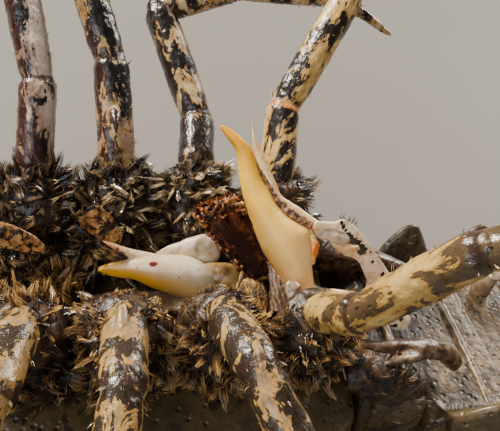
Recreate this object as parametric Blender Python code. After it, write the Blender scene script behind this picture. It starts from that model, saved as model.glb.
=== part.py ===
"""A male spinycheek crayfish, life size, lying on its back with its legs in the air.

The head points along -X, the animal's left side is +Y and the belly faces +Z. The floor is z = 0, and the
origin is the middle of the flat on which the back rests. Lengths below are in millimetres, and every mesh is
scaled to metres as it is made.
"""

import math
import random

import bmesh
import bpy
from mathutils import Matrix, Vector

MM = 0.001
GAP = 0.3
HALF_GAP = GAP / 2

# Driving sizes of the body.
CARAPACE_FRONT = -25.0
CARAPACE_REAR = 12.0
CARAPACE_HALF_WIDTH = 11.1
ROSTRUM_TIP = -34.0
BELLY_Z = 14.4
COXA_Z = BELLY_Z + GAP
COXA_X = {1: -13.2, 2: -7.3, 3: -2.1, 4: 3.0, 5: 8.3}
SIDES = {"left": 1, "right": -1}

# Where the walking legs bend: coxa to basis, ischium to merus, merus to carpus, carpus to propodus, propodus
# to dactyl, and the tip. The far legs stand up and the near ones spread low, but for the last near one.
LEG_JOINTS = {
    (2, "left"): [(-7.2, 6.2, 20.4), (-6.8, 10.0, 24.6), (-8.5, 17.5, 31.5), (-9.8, 21.6, 33.4),
                  (-10.9, 27.2, 31.4), (-11.6, 31.2, 28.6)],
    (3, "left"): [(-2.1, 6.4, 20.6), (-2.3, 11.3, 25.3), (-5.2, 19.6, 32.3), (-6.2, 24.2, 33.6),
                  (-7.0, 30.3, 31.2), (-7.5, 34.6, 28.0)],
    (4, "left"): [(2.9, 6.4, 20.5), (3.4, 10.2, 21.7), (1.2, 17.2, 26.2), (6.7, 18.7, 27.4),
                  (14.3, 18.2, 27.3), (18.9, 16.9, 25.0)],
    (5, "left"): [(8.3, 5.9, 20.0), (9.0, 9.4, 23.2), (14.1, 14.9, 28.9), (17.5, 18.6, 31.0),
                  (22.6, 24.0, 29.2), (25.2, 27.2, 26.3)],
    (2, "right"): [(-7.4, -6.2, 20.4), (-8.2, -10.8, 21.4), (-12.5, -19.2, 17.4), (-14.4, -22.8, 14.0),
                   (-16.4, -26.2, 8.6), (-17.6, -28.2, 4.4)],
    (3, "right"): [(-2.2, -6.3, 20.5), (-2.6, -11.2, 21.6), (-4.2, -20.8, 17.4), (-4.8, -24.6, 13.8),
                   (-5.4, -28.4, 8.2), (-5.8, -30.4, 4.0)],
    (4, "right"): [(3.0, -6.2, 20.4), (3.8, -10.4, 21.4), (7.0, -18.6, 17.6), (8.8, -22.4, 14.0),
                   (10.8, -26.0, 8.0), (11.8, -27.6, 4.0)],
    (5, "right"): [(8.3, -6.0, 20.0), (8.8, -9.2, 23.4), (11.6, -12.0, 30.2), (15.6, -14.2, 32.6),
                   (22.0, -18.2, 30.6), (25.6, -20.6, 27.4)],
}
PINCER_LEGS = (2, 3)
LEG_HALF_WIDTHS = {"coxa": 1.85, "ischium": 1.18, "merus": 1.10, "carpus": 1.02, "propodus": 0.86, "dactyl": 0.58}
NECK = 0.74
COLLAR = 0.28

# Where a cheliped bends, on the left side: coxa to basis, ischium to merus, merus to carpus, carpus to palm,
# the base of the fingers and the tip of the fixed one.
CHELIPED_JOINTS = [(-14.4, 7.4, 17.9), (-16.6, 10.2, 16.9), (-25.4, 17.6, 10.4), (-31.6, 20.2, 5.0),
                   (-46.0, 22.2, 2.6), (-62.0, 20.6, 1.6)]
FINGER_ROOT = (-47.3, 18.9, 2.9)
FINGER_TIP = (-61.0, 18.6, 1.7)

ABDOMEN_START = (12.3, 0.0, 5.2)
ABDOMEN_SEGMENTS = [
    # length, half width, back below the middle, underside above it, side plates above it
    (4.6, 6.9, 4.9, 6.6, 6.6),
    (6.4, 8.4, 5.5, 5.0, 7.4),
    (6.0, 8.3, 5.6, 4.7, 7.3),
    (5.8, 7.9, 5.5, 4.4, 7.0),
    (5.6, 7.4, 5.1, 3.9, 6.5),
    (6.6, 6.6, 4.6, 3.0, 4.6),
]
# How much the tail is turned up at each seam, in degrees.
TAIL_PITCHES = (0.0, 0.0, 0.0, 1.5, 5.0, 10.0, 15.0)
TAIL_PITCH = 17.0

MATERIALS = {
    "shell": ((0.165, 0.115, 0.055), 0.35),
    "belly": ((0.62, 0.50, 0.36), 0.4),
    "leg": ((0.50, 0.38, 0.22), 0.35),
    "claw": ((0.24, 0.17, 0.08), 0.35),
    "feeler": ((0.33, 0.17, 0.09), 0.4),
    "cornea": ((0.006, 0.006, 0.008), 0.08),
    "stylet": ((0.83, 0.66, 0.38), 0.3),
}

random.seed(7)


def material(name):
    """The named finish, made once."""
    found = bpy.data.materials.get(name)
    if found:
        return found
    colour, roughness = MATERIALS[name]
    made = bpy.data.materials.new(name)
    made.use_nodes = True
    shader = made.node_tree.nodes["Principled BSDF"]
    shader.inputs["Base Color"].default_value = (*colour, 1.0)
    shader.inputs["Roughness"].default_value = roughness
    shader.inputs["Metallic"].default_value = 0.0
    return made


def mix(a, b, share):
    """The point or number that lies a share of the way from a to b."""
    return a + (b - a) * share


def mirrored(points, sign):
    """The left side's points on the side that sign names."""
    return [Vector((x, y * sign, z)) for x, y, z in points]


def ring(centre, normal, side, half_width, half_depth, sides, square=1.0):
    """Points round an oval that faces along normal, with its width along side. A square under 1 swells it."""
    facing = Vector(normal).normalized()
    across = Vector(side)
    across = (across - facing * facing.dot(across)).normalized()
    upward = facing.cross(across)
    points = []
    for k in range(sides):
        angle = 2 * math.pi * (k + 0.5) / sides
        c, s = math.cos(angle), math.sin(angle)
        wide = half_width * math.copysign(abs(c) ** square, c)
        deep = half_depth * math.copysign(abs(s) ** square, s)
        points.append(Vector(centre) + across * wide + upward * deep)
    return points


def loft(rings):
    """A closed body through rings of as many points: a capped circle, extruded from each ring to the next."""
    bm = bmesh.new()
    bmesh.ops.create_circle(bm, cap_ends=True, segments=len(rings[0]), radius=1.0)
    bm.faces.ensure_lookup_table()
    cap = bm.faces[0]
    for i, points in enumerate(rings):
        if i:
            made = bmesh.ops.extrude_face_region(bm, geom=[cap])["geom"]
            if i > 1:
                bmesh.ops.delete(bm, geom=[cap], context="FACES_ONLY")
            cap = next(g for g in made if isinstance(g, bmesh.types.BMFace))
        for corner, point in zip(cap.loops, points):
            corner.vert.co = point
    return bm


def path_rings(stations, side, sides=8, square=1.0, first_normal=None, last_normal=None):
    """Rings across a path. A station is its point, half width and half depth."""
    points = [Vector(s[0]) for s in stations]
    last = len(points) - 1
    rings = []
    for i, (_, half_width, half_depth) in enumerate(stations):
        normal = points[min(i + 1, last)] - points[max(i - 1, 0)]
        if i == 0 and first_normal:
            normal = Vector(first_normal)
        if i == last and last_normal:
            normal = Vector(last_normal)
        rings.append(ring(points[i], normal, side, half_width, half_depth, sides, square))
    return rings


def hinge_plane(before, at, after):
    """The direction that a joint's two end faces share, and how far from it the full width can start."""
    a, b = (at - before).normalized(), (after - at).normalized()
    return (a + b).normalized(), math.tan(a.angle(b) / 2)


def body(name, bm, finish, smooth_angle=40.0):
    """The finished object of a mesh that was worked out in millimetres."""
    bmesh.ops.recalc_face_normals(bm, faces=bm.faces)
    bm.transform(Matrix.Scale(MM, 4))
    mesh = bpy.data.meshes.new(name)
    bm.to_mesh(mesh)
    bm.free()
    mesh.materials.append(material(finish))
    mesh.shade_smooth()
    mesh.set_sharp_from_angle(angle=math.radians(smooth_angle))
    made = bpy.data.objects.new(name, mesh)
    parts.objects.link(made)
    return made


def keep_largest(mesh):
    """Drops the loose scraps that a union can leave."""
    bm = bmesh.new()
    bm.from_mesh(mesh)
    left = set(bm.faces)
    shells = []
    while left:
        shell, edge = set(), [left.pop()]
        while edge:
            face = edge.pop()
            shell.add(face)
            for near in (f for e in face.edges for f in e.link_faces if f in left):
                left.discard(near)
                edge.append(near)
        shells.append(shell)
    largest = max(shells, key=lambda shell: sum(f.calc_area() for f in shell))
    scraps = [f for f in bm.faces if f not in largest]
    bmesh.ops.delete(bm, geom=scraps, context="FACES")
    bm.to_mesh(mesh)
    bm.free()


def fuse(root, meshes, solver="MANIFOLD"):
    """Joins extra closed shapes to a body with one union."""
    extras = bpy.data.collections.new(root.name + "_extras")
    bpy.context.scene.collection.children.link(extras)
    for i, bm in enumerate(meshes):
        piece = body(f"{root.name}_extra_{i}", bm, root.data.materials[0].name)
        parts.objects.unlink(piece)
        extras.objects.link(piece)
    union = root.modifiers.new("Union", "BOOLEAN")
    union.operation = "UNION"
    union.operand_type = "COLLECTION"
    union.collection = extras
    union.solver = solver
    bpy.context.view_layer.update()
    whole = bpy.data.meshes.new_from_object(root.evaluated_get(bpy.context.evaluated_depsgraph_get()))
    root.modifiers.clear()
    for piece in list(extras.objects):
        bpy.data.objects.remove(piece)
    bpy.data.collections.remove(extras)
    keep_largest(whole)
    root.data = whole
    return root


def spine(base, tip, radius, sides=5):
    """A pointed cone whose root is sunk in what it stands on."""
    base, tip = Vector(base), Vector(tip)
    along = tip - base
    side = (0, 0, 1) if abs(along.normalized().z) < 0.8 else (1, 0, 0)
    return loft([ring(base, along, side, radius, radius, sides),
                 ring(mix(base, tip, 0.55), along, side, radius * 0.6, radius * 0.6, sides),
                 ring(tip, along, side, 0.06, 0.06, sides)])


def lock(root, direction, length, half_width, half_depth, bend=(0, 0, 0)):
    """One flat tapered tuft of wet bristles that bends as it rises."""
    root, direction = Vector(root), Vector(direction).normalized()
    stations = []
    for share, size in ((0.0, 1.0), (0.45, 0.85), (0.8, 0.5), (1.0, 0.15)):
        point = root + direction * length * share + Vector(bend) * share ** 2
        stations.append((point, half_width * size, half_depth * size))
    side = (1, 0, 0) if abs(direction.x) < 0.8 else (0, 1, 0)
    return loft(path_rings(stations, side, sides=4))


def carapace_ring(x, half_width, back_z, middle_z, belly_z, groove=0.0, sides=28):
    """One ring round the head and thorax. It sweeps forward down the sides, as the neck groove does."""
    sweep = 9.0 * max(0.0, 1 - abs(x - NECK_GROOVE_X) / 17.0)
    points = []
    for k in range(sides):
        angle = 2 * math.pi * (k + 0.5) / sides
        c, s = math.cos(angle), math.sin(angle)
        shrink = 1 - groove / half_width if s < 0.5 else 1.0
        y = half_width * shrink * math.copysign(abs(c) ** 0.82, c)
        if s < 0:
            z = middle_z + (middle_z - back_z) * shrink * -(abs(s) ** 0.92)
            down = 1 - abs(s)
        else:
            z = middle_z + (belly_z - middle_z) * abs(s) ** 0.55
            down = 1.0
        points.append(Vector((x - sweep * down ** 1.4 * (0.55 if s > 0 else 1.0), y, max(z, 0.0))))
    return points


NECK_GROOVE_X = -5.0
CARAPACE_RINGS = [
    # x, half width, back, widest level, belly, depth of the groove
    (CARAPACE_FRONT, 2.9, 2.6, 5.6, 8.6, 0.0),
    (-24.2, 4.3, 2.0, 6.0, 10.2, 0.0),
    (-22.5, 6.2, 1.5, 6.4, 11.9, 0.0),
    (-20.0, 7.8, 1.1, 6.8, 13.2, 0.0),
    (-16.5, 9.1, 0.7, 7.1, 13.9, 0.0),
    (-13.0, 9.9, 0.4, 7.4, 14.2, 0.0),
    (-9.0, 10.4, 0.1, 7.6, BELLY_Z, 0.0),
    (-6.4, 10.7, 0.0, 7.7, BELLY_Z, 0.05),
    (-5.6, 10.7, 0.0, 7.7, BELLY_Z, 0.5),
    (NECK_GROOVE_X, 10.7, 0.0, 7.7, BELLY_Z, 0.7),
    (-4.3, 10.8, 0.0, 7.7, BELLY_Z, 0.25),
    (-2.5, CARAPACE_HALF_WIDTH, -0.35, 7.7, BELLY_Z, 0.0),
    (1.0, CARAPACE_HALF_WIDTH, -0.4, 7.6, BELLY_Z, 0.0),
    (4.5, 10.9, -0.3, 7.5, BELLY_Z, 0.0),
    (8.0, 10.2, 0.1, 7.3, BELLY_Z, 0.0),
    (10.6, 9.2, 0.5, 7.0, 14.0, 0.0),
    (11.4, 8.6, 0.9, 6.9, 13.4, 0.0),
    (CARAPACE_REAR, 8.3, 0.7, 6.8, 13.2, 0.0),
]


def rostrum():
    """The beak between the eyes: straight edges with a tooth each, then the long point."""
    stations = [((-20.5, 0, 3.4), 2.6, 1.5), ((-24.5, 0, 3.0), 2.5, 1.0), ((-28.0, 0, 3.2), 2.1, 0.8),
                ((-30.3, 0, 3.5), 1.8, 0.65), ((-31.0, 0, 3.6), 1.0, 0.5), ((-32.8, 0, 3.9), 0.6, 0.35),
                ((ROSTRUM_TIP, 0, 4.2), 0.12, 0.12)]
    return loft(path_rings(stations, (0, 1, 0), sides=8))


def make_carapace():
    """The shield over head and thorax with its beak, ridges and cheek spines."""
    shield = body("carapace", loft([carapace_ring(*r) for r in CARAPACE_RINGS]), "shell")
    extras = [rostrum()]
    cheek = [(-17.8, 8.3, 5.6), (-15.9, 9.2, 6.9), (-17.6, 8.7, 8.2), (-15.4, 9.3, 9.6), (-18.9, 7.8, 9.4)]
    for sign in SIDES.values():
        extras.append(spine((-29.4, 1.2 * sign, 3.4), (-31.6, 2.25 * sign, 3.7), 0.5))
        extras.append(spine((-21.0, 4.1 * sign, 2.6), (-24.6, 4.5 * sign, 2.0), 0.6))
        extras.append(spine((-22.6, 5.6 * sign, 7.8), (-26.0, 7.2 * sign, 7.9), 0.7))
        extras.append(spine((-10.6, 9.6 * sign, 6.0), (-12.6, 11.2 * sign, 5.7), 0.55))
        for x, y, z in cheek:
            extras.append(spine((x + 0.8, (y - 1.0) * sign, z), (x - 1.3, (y + 1.1) * sign, z), 0.5))
    fuse(shield, extras)


def make_sternum():
    """The narrow plate in the valley between the leg bases, a raised bar for each pair of legs."""
    stations = []
    for x in COXA_X.values():
        stations += [(x - 1.5, 0.9, 14.95), (x, 1.2, 15.3), (x + 1.3, 1.1, 15.0)]
    stations.pop()
    rings = []
    for x, half_width, top in stations:
        middle = (top + COXA_Z) / 2
        rings.append(ring((x, 0, middle), (1, 0, 0), (0, 1, 0), half_width, top - middle, 8, 0.7))
    body("sternum", loft(rings), "belly")


def make_eyes():
    """Each eye: a short stalk beside the beak with a black cap."""
    for side, sign in SIDES.items():
        root, end = mirrored([(-25.4, 3.3, 5.6), (-27.0, 4.7, 5.2)], sign)
        along = (end - root).normalized()
        stations = [(root, 0.85, 0.85), (mix(root, end, 0.6), 1.0, 1.0), (end, 1.15, 1.15)]
        body(f"eyestalk_{side}", loft(path_rings(stations, (0, 0, 1), sides=10)), "belly")
        dome = [(end + along * (GAP + rise), size, size)
                for rise, size in ((0.0, 1.1), (0.35, 1.3), (0.9, 1.28), (1.4, 0.98), (1.7, 0.55), (1.8, 0.12))]
        cap = loft(path_rings(dome, (0, 0, 1), sides=12))
        body(f"eye_{side}", cap, "cornea")


def article(start, end, width_start, width_middle, width_end, depth=1.0, slants=(0.3, 0.3)):
    """Stations of one leg joint: a neck, a collar, a middle and a collar. A slant is how much a knee bends."""
    start, end = Vector(start), Vector(end)
    along = (end - start).normalized()
    first = COLLAR + slants[0] * width_start
    last = COLLAR + slants[1] * width_end
    sizes = [(start, width_start * NECK), (start + along * first, width_start),
             (mix(start, end, 0.5), width_middle), (end - along * last, width_end)]
    return [(point, size, size * depth) for point, size in sizes]


def neck(point, width, depth=1.0):
    """The narrow station at the end of a leg joint."""
    return [(Vector(point), width * NECK, width * NECK * depth)]


def bend_axis(start, end):
    """The level direction across a limb that runs from start to end."""
    return (Vector(end) - Vector(start)).cross(Vector((0, 0, 1))).normalized()


def coxa_stations(number, sign, joint):
    """The stout first joint, wide where it sits on the body. The last pair leaves room for the first pleopods."""
    x = COXA_X[number]
    size = LEG_HALF_WIDTHS["coxa"]
    spread, room = (0.5, 0.45) if number == 5 else (0.0, 0.0)
    foot = Vector((x, (4.5 + spread) * sign, COXA_Z))
    swell = Vector((x, (5.0 + spread) * sign, 17.4))
    joint = Vector(joint)
    return [(foot, 2.3, 2.6 - room), (swell, 2.38, 2.4 - room), (mix(swell, joint, 0.72), size, size * 0.95)]


def coxa_locks(number, sign, rows):
    """Tufts of wet bristles on the inner face of a leg base."""
    made = []
    for z, inner, reach in rows:
        for k in range(4):
            x = COXA_X[number] - 1.5 + 1.0 * k + random.uniform(-0.25, 0.25)
            root = (x, (inner + 0.7) * sign, z - 0.5)
            lean = (random.uniform(-0.35, 0.35), -0.30 * sign + random.uniform(-0.1, 0.1), 1.0)
            made.append(lock(root, lean, reach * random.uniform(0.85, 1.15), 0.42, 0.28,
                             (random.uniform(-0.4, 0.4), 0.0, 0.0)))
    return made


COXA_ROWS = [(18.0, 2.9, 2.3), (19.7, 4.2, 2.2)]
BUSY_COXA_ROWS = [(19.4, 4.6, 1.6)]


def brush():
    """The dark slab of long bristles, stuck together, that leans over from the last right leg's base."""
    stations = [((7.3, -4.2, 16.9), 1.0, 0.5), ((6.3, -2.9, 18.1), 1.15, 0.45), ((5.0, -0.9, 19.6), 1.3, 0.42),
                ((3.8, 1.5, 20.8), 1.4, 0.4), ((3.4, 2.4, 21.1), 1.2, 0.3)]
    return loft(path_rings(stations, (1, 0, 0.3), sides=8, square=0.7))


def papilla(sign, inner):
    """The small clear lobe on the inner face of the last leg's base."""
    stations = [((8.4, 4.6 * sign, 17.2), 0.8, 0.6), ((8.3, (inner + 0.7) * sign, 17.9), 0.8, 0.5),
                ((8.2, (inner + 0.2) * sign, 18.3), 0.5, 0.3), ((8.2, inner * sign, 18.4), 0.15, 0.12)]
    return loft(path_rings(stations, (1, 0, 0), sides=6))


def make_walking_leg(number, side):
    """A walking leg in two lengths: from the body to the knee, and from the knee to the tip."""
    sign = SIDES[side]
    j1, j2, j3, j4, j5, tip = [Vector(p) for p in LEG_JOINTS[number, side]]
    w = LEG_HALF_WIDTHS
    bend = bend_axis(j1, j3) * sign
    plane, slant = hinge_plane(j2, j3, j4)
    stations = coxa_stations(number, sign, j1)
    stations += article(j1, j2, w["ischium"] * 1.08, w["ischium"], w["ischium"] * 1.02)
    end = j3 - plane * HALF_GAP
    stations += article(j2, end, w["merus"], w["merus"] * 1.08, w["merus"], slants=(0.1, slant))
    stations += neck(end, w["merus"] * 1.1)
    upper = body(f"leg_{number}_{side}_upper",
                 loft(path_rings(stations, bend, first_normal=(0, 0, 1), last_normal=plane)), "leg")
    busy = number >= 4 and side == "left"
    extras = coxa_locks(number, sign, BUSY_COXA_ROWS if busy else COXA_ROWS)
    if number == 5:
        extras.append(papilla(sign, 2.5 if side == "right" else 3.3))
        if side == "right":
            extras.append(brush())
    if number == 3:
        hook = mix(j1, j2, 0.55)
        inward = Vector((0, -0.9 * sign, 0.4))
        extras.append(spine(hook + inward * 0.5, hook + inward * 2.2 + (j1 - j2).normalized() * 0.8, 0.5))
    fuse(upper, extras)

    bend = bend_axis(j3, j5) * sign
    start = j3 + plane * HALF_GAP
    stations = article(start, j4, w["carpus"], w["carpus"] * 1.05, w["carpus"], slants=(slant, 0.2))
    stations += article(j4, j5, w["propodus"], w["propodus"] * 1.04, w["propodus"] * 0.9)
    if number in PINCER_LEGS:
        across = bend * 0.32
        stations = stations[:-1] + [(j5, w["propodus"] * 0.95, w["propodus"] * 0.75)]
        stations += [(mix(j5, tip, 0.12) - across * 1.6, 0.42, 0.55), (mix(j5, tip, 0.6) - across * 1.3, 0.34, 0.4),
                     (tip - across * 0.2, 0.1, 0.1)]
        finger = [(mix(j5, j4, 0.1) + across * 0.9, 0.42, 0.5), (mix(j5, tip, 0.15) + across * 1.5, 0.44, 0.5),
                  (mix(j5, tip, 0.6) + across * 1.3, 0.32, 0.36), (tip + across * 0.9, 0.1, 0.1)]
        extras = [loft(path_rings(finger, bend, sides=6))]
    else:
        stations += article(j5, tip, w["dactyl"], w["dactyl"] * 0.72, w["dactyl"] * 0.3)
        stations += [(tip, 0.1, 0.1)]
        extras = []
    lower = body(f"leg_{number}_{side}_lower", loft(path_rings(stations, bend, first_normal=plane)), "leg")
    if extras:
        fuse(lower, extras)


def make_cheliped(side):
    """A claw arm: the upper arm, the wrist, the palm with its fixed finger, and the moving finger."""
    sign = SIDES[side]
    j1, j2, j3, j4, j5, tip = mirrored(CHELIPED_JOINTS, sign)
    flat = (0, 1, 0)
    elbow, elbow_slant = hinge_plane(j2, j3, j4)
    hand, hand_slant = hinge_plane(j3, j4, j5)

    x = COXA_X[1]
    stations = [(Vector((x, 4.4 * sign, COXA_Z)), 2.4, 2.2), (Vector((x - 0.3, 5.0 * sign, 16.6)), 2.2, 2.1),
                (mix(Vector((x, 5.0 * sign, 16.6)), j1, 0.75), 1.9, 1.9)]
    stations += article(j1, j2, 2.0, 2.0, 1.9)
    end = j3 - elbow * HALF_GAP
    stations += [(j2, 1.6, 1.6), (mix(j2, j3, 0.15), 2.0, 2.2), (mix(j2, j3, 0.6), 2.2, 2.7),
                 (mix(j2, j3, 0.88 - 0.1 * elbow_slant), 2.3, 2.6), (end, 1.6, 1.7)]
    arm = body(f"arm_{side}",
               loft(path_rings(stations, flat, sides=10, first_normal=(0, 0, 1), last_normal=elbow)), "claw")
    extras = coxa_locks(1, sign, [(16.9, 2.9, 1.9)])
    low = Vector((0.2, -0.5 * sign, -0.6)).normalized()
    for share in (0.45, 0.62, 0.8):
        at = mix(j2, j3, share)
        extras.append(spine(at + Vector((-0.4, -1.5 * sign, 0.8)), at + Vector((-1.5, -2.9 * sign, 1.6)), 0.5))
    extras.append(spine(mix(j2, j3, 0.86) + low * 1.6, mix(j2, j3, 0.94) + low * 3.6, 0.6))
    fuse(arm, extras)

    start, end = j3 + elbow * HALF_GAP, j4 - hand * HALF_GAP
    stations = [(start, 1.6, 1.7), (mix(start, end, 0.25), 2.5, 2.4), (mix(start, end, 0.55), 3.0, 2.6),
                (mix(start, end, 0.8), 2.7, 2.3), (end, 1.8, 1.5)]
    rings = path_rings(stations, flat, sides=10, first_normal=elbow, last_normal=hand)
    wrist = body(f"wrist_{side}", loft(rings), "claw")
    middle = mix(start, end, 0.6)
    fuse(wrist, [
        spine(middle + Vector((0, -2.0 * sign, 0.2)), middle + Vector((-1.8, -4.6 * sign, 0.1)), 0.8),
        spine(middle + Vector((-1.2, -1.2 * sign, 1.4)), middle + Vector((-2.8, -2.2 * sign, 2.6)), 0.55),
    ])

    start = j4 + hand * HALF_GAP
    stations = [(start, 1.9, 1.5), (mix(start, j5, 0.16), 3.5, 2.5), (mix(start, j5, 0.45), 4.7, 3.4),
                (mix(start, j5, 0.8), 4.9, 3.2), (mix(start, j5, 0.97), 4.7, 2.8)]
    stations += [(mix(j5, tip, 0.02) + Vector((0, 1.9 * sign, 0)), 2.7, 2.4)]
    for share, half_width, half_depth in ((0.25, 2.1, 1.9), (0.55, 1.55, 1.5), (0.82, 1.0, 1.05), (0.95, 0.5, 0.6),
                                          (1.0, 0.15, 0.2)):
        bow = Vector((0, 1.4 * sign, 0)) * math.sin(math.pi * min(share + 0.25, 1.0))
        stations.append((mix(j5, tip, share) + bow, half_width, half_depth))
    along = (j5 - j4).normalized()
    rings = [ring(p, hand if i == 0 else along, flat, w, d, 12) for i, (p, w, d) in enumerate(stations)]
    for points in rings:
        for p in points:
            p.z = max(p.z, 0.0)
    palm = body(f"palm_{side}", loft(rings), "claw")
    extras = []
    for k in range(6):
        at = mix(start, j5, 0.12 + 0.14 * k)
        extras.append(spine(at + Vector((0, -3.4 * sign, 0.4)), at + Vector((-0.9, -5.5 * sign, 0.6)), 0.75))
    for k in range(5):
        at = mix(j5, tip, 0.24 + 0.15 * k)
        extras.append(spine(at + Vector((0, (0.6 - 0.22 * k) * sign, 0)), at + Vector((0, (-0.9 + 0.1 * k) * sign, 0)), 0.5))
    fuse(palm, extras)

    root, end = mirrored([FINGER_ROOT, FINGER_TIP], sign)
    stations = [(root, 1.2, 1.3), (mix(root, end, 0.1), 1.45, 1.75), (mix(root, end, 0.3), 1.6, 1.7)]
    for share, size in ((0.55, 1.4), (0.8, 0.95), (0.94, 0.5), (1.0, 0.15)):
        bow = Vector((0, -1.6 * sign, 0)) * math.sin(math.pi * share)
        stations.append((mix(root, end, share) + bow, size, size))
    body(f"finger_{side}", loft(path_rings(stations, flat, sides=10)), "claw")


def make_maxilliped(side):
    """The outermost mouth leg, folded along the midline over the mouth, with its comb of bristles."""
    sign = SIDES[side]
    root, knee, end, wrist, tip = mirrored(
        [(-16.6, 2.6, 15.4), (-22.4, 2.5, 16.6), (-26.6, 3.0, 15.2), (-28.6, 2.7, 12.6), (-29.4, 2.4, 9.8)], sign)
    stations = [(mix(root, knee, 0.02), 1.0, 0.8)]
    stations += [(mix(root, knee, 0.15), 1.4, 1.1), (mix(root, knee, 0.6), 1.5, 1.15), (mix(root, knee, 0.92), 1.4, 1.1)]
    stations += article(knee, end, 1.25, 1.3, 1.2)
    stations += article(end, wrist, 1.0, 1.0, 0.9)
    stations += article(wrist, tip, 0.8, 0.7, 0.5) + [(tip, 0.25, 0.25)]
    limb = body(f"maxilliped_{side}", loft(path_rings(stations, (0, 1, 0))), "leg")
    extras = []
    for k in range(5):
        at = mix(root, end, 0.12 + 0.19 * k)
        extras.append(lock(at + Vector((0, -0.3 * sign, 0.7)), (-0.6, -0.16 * sign, 1.0), 2.3, 0.3, 0.24))
    fuse(limb, extras)


def flagellum(points, root, end, sides=6, count=12, first=None, last=None):
    """Stations of a feeler along a smooth curve through its points, tapering evenly."""
    stations = []
    for i in range(count + 1):
        share = i / count
        place = share * (len(points) - 1)
        k = min(int(place), len(points) - 2)
        before = points[max(k - 1, 0)]
        a, b = points[k], points[k + 1]
        after = points[min(k + 2, len(points) - 1)]
        t = place - k
        at = 0.5 * (2 * a + (b - before) * t + (2 * before - 5 * a + 4 * b - after) * t ** 2
                    + (3 * a - before - 3 * b + after) * t ** 3)
        size = mix(root, end, share)
        stations.append((at, size, size))
    return path_rings(stations, (0, 0, 1), sides=sides, first_normal=first, last_normal=last)


ANTENNA_INNER = [(-32.2, 5.5, 9.3), (-37.5, 7.6, 10.4), (-44.0, 11.4, 10.2), (-50.5, 16.4, 8.2)]
ANTENNA_OUTER = [(-50.7, 16.6, 8.1), (-57.0, 23.0, 5.2), (-62.0, 31.0, 3.0), (-65.0, 40.0, 1.6), (-66.0, 49.0, 0.9)]


def make_antenna(side):
    """The long feeler: its jointed base with the scale beside it, and the whip in two lengths."""
    sign = SIDES[side]
    inner = mirrored(ANTENNA_INNER, sign)
    outer = mirrored(ANTENNA_OUTER, sign)
    turn = (inner[1] - inner[0]).normalized()
    a, b, c = mirrored([(-26.2, 5.7, 11.2), (-27.9, 5.5, 10.3), (-30.0, 5.4, 9.6)], sign)
    d = inner[0] - turn * GAP
    stations = [(a, 1.8, 1.7), (mix(a, b, 0.6), 2.0, 1.9)]
    stations += article(b, c, 1.7, 1.7, 1.5) + article(c, d, 1.4, 1.35, 1.2) + [(d, 0.8, 0.8)]
    base = body(f"antenna_base_{side}", loft(path_rings(stations, (0, 1, 0), last_normal=turn)), "belly")
    blade = [(Vector((-26.8, 7.0 * sign, 9.6)), 0.9, 0.6), (Vector((-28.5, 7.6 * sign, 9.0)), 1.7, 0.42),
             (Vector((-31.5, 7.5 * sign, 8.5)), 1.9, 0.36), (Vector((-34.2, 7.5 * sign, 8.1)), 1.3, 0.34),
             (Vector((-36.4, 8.2 * sign, 7.8)), 0.15, 0.15)]
    fuse(base, [loft(path_rings(blade, (0, 1, 0), sides=6))])
    later = (inner[-1] - inner[-2]).normalized()
    outer[0] = inner[-1] + later * GAP
    body(f"antenna_inner_{side}", loft(flagellum(inner, 0.75, 0.55, first=turn, last=later)), "feeler")
    body(f"antenna_outer_{side}", loft(flagellum(outer, 0.53, 0.25, count=16, first=later)), "feeler")


def make_antennule(side):
    """The small forked feeler beside the beak."""
    sign = SIDES[side]
    a, b, c = mirrored([(-25.7, 1.5, 7.6), (-28.6, 1.6, 7.4), (-31.2, 1.7, 7.3)], sign)
    stations = article(a, b, 0.95, 0.95, 0.85) + article(b, c, 0.75, 0.7, 0.65) + [(c, 0.5, 0.5)]
    base = body(f"antennule_{side}", loft(path_rings(stations, (0, 1, 0))), "feeler")
    root = mix(b, c, 0.8)
    upper = [root, root + Vector((-4.5, 1.0 * sign, -0.6)), root + Vector((-9.5, 3.0 * sign, -1.6)),
             root + Vector((-13.5, 5.6 * sign, -3.0))]
    lower = [root, root + Vector((-4.0, 0.8 * sign, 1.2)), root + Vector((-8.5, 1.9 * sign, 2.8)),
             root + Vector((-12.0, 3.6 * sign, 4.8))]
    fuse(base, [loft(flagellum(upper, 0.34, 0.16, sides=5, count=6)),
                loft(flagellum(lower, 0.34, 0.16, sides=5, count=6))])


def segment_ring(half_width, back, under, plates, flare):
    """A ring of a tail segment about its middle: the arched back below and a side plate rising on each side."""
    arch = []
    for k in range(11):
        angle = math.pi * (1 + k / 10)
        c, s = math.cos(angle), math.sin(angle)
        arch.append((half_width * math.copysign(abs(c) ** 0.85, c), back * s))
    lip = half_width - 1.1
    right_plate = [(half_width + flare, plates * 0.55), (half_width - 0.2 + flare, plates), (lip - 0.4, plates * 0.9)]
    belly = [(lip - 1.3, under * 0.92), (lip * 0.45, under), (-lip * 0.45, under), (-lip + 1.3, under * 0.92)]
    left_plate = [(-y, z) for y, z in reversed(right_plate)]
    return arch + right_plate + belly + left_plate


def tail_frame(pitch):
    """The directions along the tail and up from it where it is turned up by pitch degrees."""
    turn = Matrix.Rotation(-math.radians(pitch), 3, "Y")
    return turn @ Vector((1, 0, 0)), turn @ Vector((0, 0, 1))


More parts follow.
